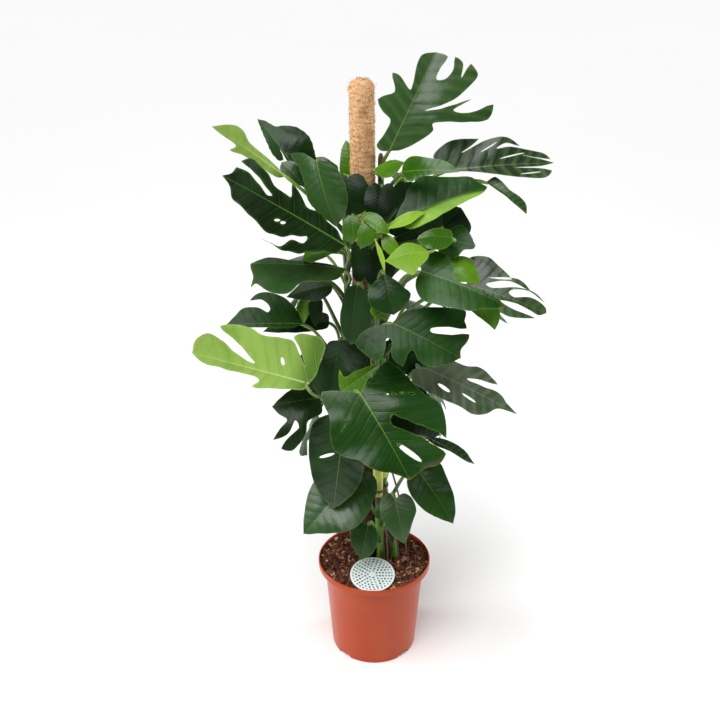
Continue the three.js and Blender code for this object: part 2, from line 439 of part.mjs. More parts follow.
  back_leaf_d: {
    vine: 'vine_left', grow: 560, young: true, junction: [-125, 45, 765], tip: [-165, 45, 645],
    face: [-0.2, -0.9, 0.3], fold: 12, curl: 26, bow: 0.08, bend: [0, 25, 0],
    a: HALF.heart, b: HALF.heart,
  },
  back_leaf_e: {
    vine: 'vine_right', grow: 760, young: true, junction: [50, 60, 820], tip: [130, 60, 725],
    face: [0.2, -0.9, 0.4], fold: 12, curl: 26, bow: 0.08,
    a: HALF.heart, b: HALF.heart,
  },
  side_leaf_a: {
    vine: 'vine_right', grow: 880, young: true, junction: [110, 60, 1010], tip: [150, 150, 870],
    face: [0.95, 0.1, 0.3], fold: 12, curl: 26, bow: 0.08,
    a: HALF.cut, b: HALF.heart,
  },
  side_leaf_b: {
    vine: 'vine_right', grow: 640, young: true, junction: [110, 30, 760], tip: [150, -20, 600],
    face: [0.95, -0.1, 0.3], fold: 12, curl: 26, bow: 0.08,
    a: HALF.heart, b: HALF.torn,
  },
  side_leaf_c: {
    vine: 'vine_left', grow: 820, young: true, junction: [-150, 60, 960], tip: [-200, 140, 820],
    face: [-0.9, 0.2, 0.4], fold: 12, curl: 26, bow: 0.08,
    a: HALF.heart, b: HALF.cut,
  },
  side_leaf_d: {
    vine: 'vine_left', grow: 485, young: true, junction: [-135, 45, 620], tip: [-165, 110, 475],
    face: [-0.9, 0.1, 0.4], fold: 12, curl: 26, bow: 0.08,
    a: HALF.torn, b: HALF.heart,
  },
  side_leaf_e: {
    vine: 'vine_back', grow: 1060, young: true, junction: [-70, 160, 1165], tip: [-130, 290, 1110],
    face: [-0.1, 0.5, 0.8], fold: 12, curl: 26, bow: 0.08,
    a: HALF.torn, b: HALF.cut,
  },
  rear_leaf_a: {
    vine: 'vine_back', grow: 980, junction: [60, 190, 1170], tip: [150, 330, 1060],
    face: [0.3, 0.6, 0.75], fold: 10, curl: 24, bow: 0.08, a: HALF.cut, b: HALF.torn,
  },
  rear_leaf_b: {
    vine: 'vine_back', grow: 800, junction: [-110, 180, 980], tip: [-200, 330, 880],
    face: [-0.4, 0.5, 0.8], fold: 10, curl: 24, bow: 0.08, a: HALF.torn, b: HALF.cut,
  },
  rear_leaf_c: {
    vine: 'vine_back', grow: 630, junction: [70, 190, 840], tip: [150, 350, 740],
    face: [0.4, 0.5, 0.8], fold: 10, curl: 24, bow: 0.08, a: HALF.cut, b: HALF.cut,
  },
  rear_leaf_d: {
    vine: 'vine_back', grow: 480, junction: [-60, 170, 680], tip: [-120, 310, 570],
    face: [-0.2, 0.6, 0.8], fold: 10, curl: 24, bow: 0.08, a: HALF.torn, b: HALF.torn,
  },
  rear_leaf_e: {
    vine: 'vine_back', grow: 340, junction: [60, 140, 500], tip: [100, 250, 400],
    face: [0.2, 0.6, 0.7], fold: 12, curl: 26, bow: 0.08, a: HALF.heart, b: HALF.heart,
  },
};

function solidFrom(positions, triangles) {
  const geometry = new THREE.BufferGeometry();
  geometry.setAttribute('position', new THREE.Float32BufferAttribute(positions, 3));
  geometry.setIndex(triangles);
  const merged = mergeVertices(geometry, 1e-4);
  const index = merged.index.array;
  const kept = [];
  for (let i = 0; i < index.length; i += 3) {
    const [a, b, c] = [index[i], index[i + 1], index[i + 2]];
    if (a !== b && b !== c && c !== a) kept.push(a, b, c);
  }
  return new wasm.Manifold(new wasm.Mesh({
    numProp: 3,
    vertProperties: new Float32Array(merged.attributes.position.array),
    triVerts: new Uint32Array(kept),
  }));
}

function plain(geometry) {
  return solidFrom(Array.from(geometry.attributes.position.array), Array.from(geometry.index.array));
}

// Closed body over rings of points that run one way round, with a middle point at each end
function loft(rings) {
  const positions = [];
  const triangles = [];
  const sides = rings[0].length;
  rings.forEach((ring) => ring.forEach((p) => positions.push(p.x, p.y, p.z)));
  for (let i = 0; i + 1 < rings.length; i += 1) {
    for (let j = 0; j < sides; j += 1) {
      const [a, b] = [i * sides + j, i * sides + ((j + 1) % sides)];
      triangles.push(a, b, b + sides, a, b + sides, a + sides);
    }
  }
  [0, rings.length - 1].forEach((i) => {
    const middle = new THREE.Vector3();
    rings[i].forEach((p) => middle.addScaledVector(p, 1 / sides));
    const m = positions.length / 3;
    positions.push(middle.x, middle.y, middle.z);
    for (let j = 0; j < sides; j += 1) {
      const [a, b] = [i * sides + j, i * sides + ((j + 1) % sides)];
      triangles.push(...(i ? [a, b, m] : [b, a, m]));
    }
  });
  return solidFrom(positions, triangles);
}

// Rings of a round bar along points, with a radius for each point
function barRings(points, radii, sides) {
  let across = new THREE.Vector3(1, 0, 0);
  return points.map((p, i) => {
    const before = points[Math.max(i - 1, 0)];
    const after = points[Math.min(i + 1, points.length - 1)];
    const along = new THREE.Vector3().subVectors(after, before).normalize();
    if (i === 0 && Math.abs(along.x) > 0.9) across = new THREE.Vector3(0, 1, 0);
    across = across.clone().addScaledVector(along, -across.dot(along)).normalize();
    const up = new THREE.Vector3().crossVectors(along, across);
    return Array.from({ length: sides }, (_, j) => {
      const angle = (2 * Math.PI * j) / sides;
      return p.clone()
        .addScaledVector(across, radii[i] * Math.cos(angle))
        .addScaledVector(up, radii[i] * Math.sin(angle));
    });
  });
}

// Closed body turned about the vertical from a profile of radius and height, bottom axis first
function turned(profile, segments) {
  const geometry = new THREE.LatheGeometry(profile.map(([r, z]) => new THREE.Vector2(r, z)), segments);
  return plain(geometry.rotateX(Math.PI / 2));
}

function poleAxis(z) {
  const f = (z - SOIL.edge) / (POLE.top - SOIL.edge);
  return new THREE.Vector3(
    POLE.foot[0] + (POLE.head[0] - POLE.foot[0]) * f,
    POLE.foot[1] + (POLE.head[1] - POLE.foot[1]) * f,
    z,
  );
}

function poleBody(radius, base, top, sides, dome = 0, lump = 0) {
  const steps = lump ? Math.round((top - base) / POLE.pitch) : 1;
  const heights = Array.from({ length: steps + 1 }, (_, i) => base + ((top - dome - base) * i) / steps);
  const radii = heights.map((_, i) => radius + (i % 2 ? lump : 0));
  if (dome) {
    POLE.domeRings.forEach(([drop, share]) => {
      heights.push(top - dome * drop);
      radii.push(radius * share);
    });
  }
  return loft(barRings(heights.map(poleAxis), radii, sides));
}

function vineAxis(name, z) {
  const { foot, head, top } = VINES[name];
  const lean = THREE.MathUtils.smoothstep(z, SOIL.edge, VINE.settle);
  const turn = THREE.MathUtils.clamp((z - SOIL.edge) / (top - SOIL.edge), 0, 1);
  const bearing = THREE.MathUtils.degToRad(foot[0] + (head[0] - foot[0]) * turn);
  const reach = foot[1] + (head[1] - foot[1]) * lean;
  const p = poleAxis(z);
  p.x += reach * Math.cos(bearing);
  p.y += reach * Math.sin(bearing);
  return p;
}

function vineSteps(name) {
  return Math.round((VINES[name].top - VINE.base) / VINE.pitch);
}

// A vine swells at every other ring
function vineRadius(name, z) {
  const { top, radius, tip } = VINES[name];
  const share = (z - VINE.base) / (top - VINE.base);
  const swell = 1 - Math.abs(((share * vineSteps(name)) % 2) - 1);
  return (radius + (tip - radius) * share) * (1 + (VINE.knuckle - 1) * swell);
}

function vineBody(name, grow = 0) {
  const steps = vineSteps(name);
  const rise = (VINES[name].top - VINE.base) / steps;
  const heights = Array.from({ length: steps + 1 }, (_, i) => VINE.base + rise * i);
  const radii = heights.map((z) => vineRadius(name, z) + grow);
  return loft(barRings(heights.map((z) => vineAxis(name, z)), radii, VINE.sides));
}

function bladeFrame({ junction, tip, face }) {
  const at = new THREE.Vector3(...junction);
  const along = new THREE.Vector3(...tip).sub(at);
  const size = along.length();
  along.normalize();
  const up = new THREE.Vector3(...face);
  up.addScaledVector(along, -up.dot(along)).normalize();
  return { at, along, up, across: new THREE.Vector3().crossVectors(along, up), size };
}

// Place in space of a flat blade point: out is positive on side a
function bladePoint(spec, frame, out, forward, lift = 0) {
  const fold = THREE.MathUtils.degToRad(spec.fold);
  const bend = THREE.MathUtils.degToRad(spec.curl) / 0.5;
  const reach = Math.abs(out);
  const x = ((Math.sin(fold) - Math.sin(fold - bend * reach)) / bend) * Math.sign(out);
  const h = (Math.cos(fold - bend * reach) - Math.cos(fold)) / bend + spec.bow * 4 * forward * (1 - forward);
  return frame.at.clone()
    .addScaledVector(frame.across, x * frame.size)
    .addScaledVector(frame.along, forward * frame.size)
    .addScaledVector(frame.up, h * frame.size + lift);
}

function bladeBody(spec) {
  const frame = bladeFrame(spec);
  const flat = [[0, 0], [0, 1], ...BLADE.ribSteps.map((forward) => [0, forward])];
  const faces = [];
  [1, -1].forEach((side) => {
    const start = flat.length;
    const rim = side > 0 ? spec.a : spec.b;
    flat.push(...rim.map(([out, forward]) => [out * side, forward]));
    const ids = [0, ...rim.map((_, i) => start + i), 1, ...BLADE.ribSteps.map((_, i) => 2 + i)];
    const contour = ids.map((i) => new THREE.Vector2(...flat[i]));
    THREE.ShapeUtils.triangulateShape(contour, []).forEach(([p, q, r]) => {
      const [a, b, c] = [ids[p], ids[q], ids[r]];
      const area = (flat[b][0] - flat[a][0]) * (flat[c][1] - flat[a][1])
        - (flat[c][0] - flat[a][0]) * (flat[b][1] - flat[a][1]);
      faces.push(area > 0 ? [a, b, c] : [a, c, b]);
    });
  });
  const points = flat.map(([out, forward]) => bladePoint(spec, frame, out, forward));
  const normals = points.map(() => new THREE.Vector3());
  faces.forEach(([a, b, c]) => {
    const normal = new THREE.Vector3().crossVectors(
      points[b].clone().sub(points[a]),
      points[c].clone().sub(points[a]),
    );
    [a, b, c].forEach((i) => normals[i].add(normal));
  });
  const positions = [];
  [1, -1].forEach((way) => points.forEach((p, i) => {
    const [out, forward] = flat[i];
    const rise = out === 0 && way < 0 ? BLADE.rib * (1 - forward) : 0;
    const lift = way * (BLADE.thickness / 2 + rise);
    const q = p.clone().addScaledVector(normals[i].normalize(), lift);
    positions.push(q.x, q.y, q.z);
  }));
  const triangles = [];
  const edges = new Map();
  const under = points.length;
  faces.forEach(([a, b, c]) => {
    triangles.push(a, b, c, a + under, c + under, b + under);
    [[a, b], [b, c], [c, a]].forEach(([p, q]) => {
      if (!edges.delete(`${q},${p}`)) edges.set(`${p},${q}`, [p, q]);
    });
  });
  edges.forEach(([p, q]) => triangles.push(p, p + under, q + under, p, q + under, q));
  let solid = solidFrom(positions, triangles);
  (spec.holes ?? []).forEach(([out, forward, long, wide, angle]) => {
    const turn = THREE.MathUtils.degToRad(angle) * Math.sign(out);
    const blunt = HOLE.blunt;
    const hexagon = [[1, 0], [blunt, 1], [-blunt, 1], [-1, 0], [-blunt, -1], [blunt, -1]];
    const ring = hexagon.map(([l, w]) => [
      out + long * l * Math.sin(turn) + wide * w * Math.cos(turn),
      forward + long * l * Math.cos(turn) - wide * w * Math.sin(turn),
    ]);
    const punch = loft([-HOLE.depth, HOLE.depth].map((lift) => ring
      .map(([u, v]) => bladePoint(spec, frame, u, v, lift)).reverse()));
    solid = solid.subtract(punch);
  });
  return solid;
}

function petioleBody(spec) {
  const frame = bladeFrame(spec);
  const start = vineAxis(spec.vine, spec.grow);
  const end = frame.at.clone().addScaledVector(frame.along, PETIOLE.bury * frame.size);
  const reach = start.distanceTo(end);
  const out = new THREE.Vector3(end.x - start.x, end.y - start.y, 0).normalize();
  const bend = new THREE.Vector3(...(spec.bend ?? [0, 0, 0]));
  const first = start.clone().addScaledVector(out, reach * PETIOLE.out).add(bend);
  first.z += reach * PETIOLE.rise;
  const second = frame.at.clone()
    .addScaledVector(frame.along, -reach * PETIOLE.back)
    .addScaledVector(frame.up, -reach * PETIOLE.under)
    .add(bend);
  const points = new THREE.CubicBezierCurve3(start, first, second, end).getPoints(PETIOLE.segments);
  const taper = (PETIOLE.end - PETIOLE.base) / PETIOLE.segments;
  const radii = points.map((_, i) => PETIOLE.base + taper * i);
  return loft(barRings(points, radii, PETIOLE.sides));
}

function potBody() {
  const p = POT;
  const lipBase = p.height - p.lipHeight;
  const lipInner = p.rimRadius - p.lipBand;
  const inner = p.baseRadius - p.wall;
  const footInner = p.baseRadius - FOOT.depth;
  let solid = turned([
    [0, 0], [FOOT.pad, 0], [FOOT.pad + FOOT.slope, FOOT.height],
    [footInner, FOOT.height], [footInner + FOOT.slope, 0],
    [p.baseRadius - FOOT.edge, 0], [p.baseRadius, FOOT.slope],
    [p.bodyTopRadius, lipBase - p.flare], [p.rimRadius - p.edge, lipBase], [p.rimRadius, lipBase + p.edge],
    [p.rimRadius, p.height - p.edge], [p.rimRadius - p.edge, p.height], [lipInner, p.height - p.edge / 2],
    [lipInner - p.draft, lipBase + p.flare], [p.bodyTopRadius - p.wall, lipBase - p.flare - p.edge],
    [inner, p.floor + p.cove], [inner - p.cove, p.floor], [0, p.floor],
  ], p.segments);
  for (let i = 0; i < FOOT.count; i += 1) {
    const angle = Math.PI / 4 + (2 * Math.PI * i) / FOOT.count;
    const notch = new THREE.BoxGeometry(FOOT.depth * 2, FOOT.notchWidth, FOOT.height * 2);
    notch.translate(p.baseRadius - FOOT.depth / 2, 0, 0);
    const drain = new THREE.CylinderGeometry(DRAIN.radius, DRAIN.radius, p.floor * 3, DRAIN.sides);
    drain.rotateX(Math.PI / 2);
    drain.translate(DRAIN.ring, 0, 0);
    [notch, drain].forEach((tool) => {
      tool.rotateZ(angle);
      solid = solid.subtract(plain(tool));
    });
  }
  return solid;
}

function soilBody() {
  const s = SOIL;
  const [foot, shoulder] = [POT.baseRadius, POT.bodyTopRadius].map((r) => r - POT.wall - s.clear);
  const lip = POT.rimRadius - POT.lipBand - POT.draft - s.clear;
  const lipBase = POT.height - POT.lipHeight;
  const bottom = POT.floor + GAP;
  return turned([
    [0, bottom], [foot - POT.cove, bottom], [foot, bottom + POT.cove],
    [shoulder, lipBase - POT.flare - POT.edge], [lip, lipBase + POT.flare + s.clear],
    [lip, s.edge], [lip * s.level, s.crown], [0, s.crown],
  ], s.segments);
}

// Spike under the label's disc, grown on all sides
function pickBody(grow = 0) {
  const l = LABEL;
  const pick = new THREE.BoxGeometry(
    l.pickWidth + 2 * grow,
    l.pickDepth + 2 * grow,
    l.pickLength + grow,
  );
  pick.translate(0, 0, -(l.pickLength + grow) / 2);
  return plain(pick.translate(...l.centre));
}

function labelBody() {
  const l = LABEL;
  const disc = new THREE.CylinderGeometry(l.radius, l.radius, l.thickness, l.sides);
  disc.rotateX(THREE.MathUtils.degToRad(90 + l.tilt));
  return plain(disc.translate(...l.centre)).add(pickBody());
}

// Band round the pole and the vines at a height
function tieBody(height) {
  const circles = [[poleAxis(height), POLE.radius + POLE.lump]];
  Object.keys(VINES).forEach((name) => {
    circles.push([vineAxis(name, height), vineRadius(name, height)]);
  });
  const outline = (grow) => Array.from({ length: TIE.steps }, (_, i) => {
    const angle = (2 * Math.PI * i) / TIE.steps;
    const far = circles.map(([c, r]) => c.x * Math.cos(angle) + c.y * Math.sin(angle) + r + grow);
    return { angle, far: Math.max(...far) };
  });
  const ring = (grow, z) => {
    const sides = outline(grow);
    return sides.map((s, i) => {
      const t = sides[(i + 1) % sides.length];
      const det = Math.cos(s.angle) * Math.sin(t.angle) - Math.sin(s.angle) * Math.cos(t.angle);
      return new THREE.Vector3(
        (s.far * Math.sin(t.angle) - t.far * Math.sin(s.angle)) / det,
        (t.far * Math.cos(s.angle) - s.far * Math.cos(t.angle)) / det,
        z,
      );
    });
  };
  const [low, high] = [height - TIE.width / 2, height + TIE.width / 2];
  const outer = loft([ring(TIE.clear + TIE.thickness, low), ring(TIE.clear + TIE.thickness, high)]);
  return outer.subtract(loft([ring(TIE.clear, low - 1), ring(TIE.clear, high + 1)]));
}

const FINISH = {
  terracotta: ['#c2512f', 0.45], bark: ['#3a2417', 0.95], coir: ['#c98d55', 1],
  blade: ['#2c5a22', 0.4], stem: ['#6b6a3a', 0.7], card: ['#eef1ef', 0.5], rod: ['#8a6a45', 0.8],
};

const assembly = new THREE.Group();
assembly.name = 'potted_monstera';

function place(name, solid, finish) {
  const mesh = solid.getMesh();
  const geometry = new THREE.BufferGeometry();
  geometry.setAttribute('position', new THREE.BufferAttribute(new Float32Array(mesh.vertProperties), 3));
  geometry.setIndex(new THREE.BufferAttribute(new Uint32Array(mesh.triVerts), 1));
  geometry.computeVertexNormals();
  const [color, roughness] = FINISH[finish];
  const item = new THREE.Mesh(geometry, new THREE.MeshStandardMaterial({ color, roughness, metalness: 0 }));
  item.name = name;
  assembly.add(item);
}

const entries = Object.entries(LEAVES);
const vines = Object.keys(VINES);
const core = (grow) => poleBody(
  POLE.coreRadius + grow, POLE.coreBase - grow, POLE.coreTop + grow, POLE.coreSides,
);
const sleeve = (grow) => poleBody(
  POLE.radius + grow, POLE.base - grow, POLE.top + grow, POLE.sides, POLE.dome, POLE.lump,
);
const soil = [core(GAP), sleeve(GAP), ...vines.map((name) => vineBody(name, GAP)), pickBody(GAP)]
  .reduce((body, tool) => body.subtract(tool), soilBody());
place('pot', potBody(), 'terracotta');
place('potting_mix', soil, 'bark');
place('pole_core', core(0), 'rod');
place('coir_sleeve', sleeve(0).subtract(core(GAP)), 'coir');
place('plant_label', labelBody(), 'card');
TIE.heights.forEach((height, i) => place(`tie_${i + 1}`, tieBody(height), 'rod'));
vines.forEach((name) => {
  const young = entries.filter(([, spec]) => spec.young && spec.vine === name);
  const solid = young.reduce(
    (body, [, spec]) => body.add(bladeBody(spec)).add(petioleBody(spec)),
    vineBody(name),
  );
  place(name, solid, 'stem');
});
entries.filter(([, spec]) => !spec.young).forEach(([name, spec]) => {
  place(name, bladeBody(spec).add(petioleBody(spec)).subtract(vineBody(spec.vine, GAP)), 'blade');
});

export default assembly;
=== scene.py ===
"""Potted monstera on a coir pole, dressed over its fixed frame.

Sizes are in millimetres in the part's own frame, with +Z up, -Y towards the front of the plant and
the origin in the middle of the pot's underside. Meshes are scaled to metres as they are made.
Finishes and the studio are in metres, and patterns in lumps a metre. A blade's outline is in
hundredths of its length, and its other shares are in blade lengths.
"""

from __future__ import annotations

import json
import logging
import math
from collections.abc import Iterable, Sequence
from dataclasses import dataclass, field
from enum import Enum

import bpy
import numpy as np
from mathutils import Matrix, Vector, noise
from mathutils.geometry import delaunay_2d_cdt

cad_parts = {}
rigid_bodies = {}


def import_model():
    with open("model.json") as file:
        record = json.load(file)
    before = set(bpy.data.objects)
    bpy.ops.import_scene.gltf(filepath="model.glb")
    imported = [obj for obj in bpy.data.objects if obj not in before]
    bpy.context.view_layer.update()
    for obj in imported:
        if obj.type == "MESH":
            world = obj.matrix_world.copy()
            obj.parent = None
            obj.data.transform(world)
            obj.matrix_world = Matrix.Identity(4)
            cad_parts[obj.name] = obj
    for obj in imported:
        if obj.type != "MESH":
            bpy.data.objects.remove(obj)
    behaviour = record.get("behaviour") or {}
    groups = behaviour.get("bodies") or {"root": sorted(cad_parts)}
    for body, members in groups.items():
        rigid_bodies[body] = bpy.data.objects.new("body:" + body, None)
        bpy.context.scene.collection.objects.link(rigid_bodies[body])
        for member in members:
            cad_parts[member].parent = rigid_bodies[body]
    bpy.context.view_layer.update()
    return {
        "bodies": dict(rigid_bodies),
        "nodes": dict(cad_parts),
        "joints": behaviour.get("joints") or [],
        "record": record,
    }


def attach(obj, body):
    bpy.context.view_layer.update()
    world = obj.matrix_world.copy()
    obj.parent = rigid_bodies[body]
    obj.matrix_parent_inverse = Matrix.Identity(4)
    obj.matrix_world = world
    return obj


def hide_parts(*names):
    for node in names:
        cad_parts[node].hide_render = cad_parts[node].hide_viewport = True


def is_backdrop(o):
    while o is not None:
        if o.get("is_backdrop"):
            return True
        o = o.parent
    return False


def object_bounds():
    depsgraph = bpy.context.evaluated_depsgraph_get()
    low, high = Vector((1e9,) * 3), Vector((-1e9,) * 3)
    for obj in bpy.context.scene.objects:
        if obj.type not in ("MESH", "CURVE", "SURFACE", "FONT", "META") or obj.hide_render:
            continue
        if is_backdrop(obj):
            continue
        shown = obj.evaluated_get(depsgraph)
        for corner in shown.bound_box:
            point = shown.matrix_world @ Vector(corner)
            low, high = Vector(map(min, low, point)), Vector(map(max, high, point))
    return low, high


LOG = logging.getLogger("potted_monstera")
MM = 0.001
MOST_ROUND = 0.45  # the most of a side that one rounding takes
SEED_STEPS = (7.3, 3.1, 5.7)  # how far one seed moves a pattern of lumps

Point = tuple[float, float, float]
Flat = tuple[float, float]
Colour = tuple[int, int, int]
Faces = list[tuple[int, ...]]
Socket = bpy.types.NodeSocket


def linear(colour: Colour) -> tuple[float, float, float, float]:
    """Turn a screen colour of 0 to 255 into a linear colour with full alpha."""
    parts = [c / 255 for c in colour]
    return (*[p / 12.92 if p <= 0.04045 else ((p + 0.055) / 1.055) ** 2.4 for p in parts], 1.0)


def smooth(value: np.ndarray | float) -> np.ndarray | float:
    """Ease a share of 0 to 1, flat at both ends."""
    share = np.clip(value, 0.0, 1.0)
    return share * share * (3 - 2 * share)


def wobble(points: np.ndarray, scale: float, seed: float) -> np.ndarray:
    """Smooth random values from about -1 to 1 at points, with scale lumps to each of their units."""
    shift = Vector([seed * step for step in SEED_STEPS])
    return np.array([noise.noise(Vector(p) * scale + shift) for p in points])


def mix(t: np.ndarray, low: float, high: float, first: np.ndarray, second: np.ndarray) -> np.ndarray:
    """Blend from the first where t is low to the second where it is high."""
    return (high - t) / (high - low) * first + (t - low) / (high - low) * second


def show(name: str, data: bpy.types.ID) -> bpy.types.Object:
    """Link a new object with its mesh, light or camera to the scene."""
    item = bpy.data.objects.new(name, data)
    bpy.context.scene.collection.objects.link(item)
    return item


def bearings(count: int) -> np.ndarray:
    """Bearings of points spread evenly round a circle."""
    return np.arange(count) * (math.tau / count)


def swoop(
    start: np.ndarray, first: np.ndarray, second: np.ndarray, end: np.ndarray, count: int
) -> np.ndarray:
    """Points along a curve that leaves one end towards a handle and comes to the other from one.

    Args:
        start: where it starts.
        first: the handle of the start.
        second: the handle of the end.
        end: where it ends.
        count: how many points it has.

    Returns:
        The points.
    """
    t = np.linspace(0, 1, count)[:, None]
    return (1 - t) ** 3 * start + 3 * t * (1 - t) ** 2 * first + 3 * t * t * (1 - t) * second + t ** 3 * end


class Vine(Enum):
    """The climbing stems round the pole."""

    FRONT = "vine_front"
    RIGHT = "vine_right"
    BACK = "vine_back"
    LEFT = "vine_left"


class Look(Enum):
    """How a leaf looks: its age, and how much light reaches it."""

    DEEP = "deep"
    DARK = "dark"
    MID = "mid"
    SHEEN = "sheen"
    GREY = "grey"
    PALE = "pale"
    BRIGHT = "bright"
    LIME = "lime"
    RICH = "rich"
    ASH = "ash"


class Half(Enum):
    """Half outlines for the leaves at the back: out from the midrib and along it, in hundredths."""

    HEART = ((16, -12), (32, -12), (43, 8), (42, 36), (28, 68), (12, 88))
    CUT = (
        (20, -14), (40, -10), (47, 10), (22, 10), (23, 13), (49, 24), (45, 44), (20, 30), (20, 34), (42, 58),
        (32, 72), (13, 55), (13, 60), (22, 86),
    )
    TORN = (
        (20, -14), (40, -10), (48, 14), (47, 34), (18, 24), (18, 29), (42, 54), (34, 70), (14, 52), (13, 57),
        (20, 86),
    )


@dataclass(frozen=True)
class Leaf:
    """One leaf: where it grows, how its blade lies, and its outline.

    It grows at a height on its stem. Its blade runs from the junction to the tip and faces one way.
    Fold and curl are in degrees, and bow is its arch. Half a is on the right with the tip up, and
    its outline is in hundredths of the blade's length. A hole is its place out (negative on half b)
    and along, its half length and half width, and its angle to the midrib. A patch of painted light,
    lighter where light falls on the blade, is given by its place out and along, its half sizes, and
    its strength.
    """

    vine: Vine
    grow: float
    junction: Point
    tip: Point
    face: Point
    fold: float = 12.0
    curl: float = 26.0
    bow: float = 0.08
    a: tuple[Flat, ...] | Half = Half.HEART
    b: tuple[Flat, ...] | Half = Half.HEART
    bend: Point = (0, 0, 0)
    young: bool = False
    holes: tuple[tuple[float, float, float, float, float], ...] = ()
    glow: tuple[tuple[float, float, float, float, float], ...] = ()
    look: Look = Look.DARK


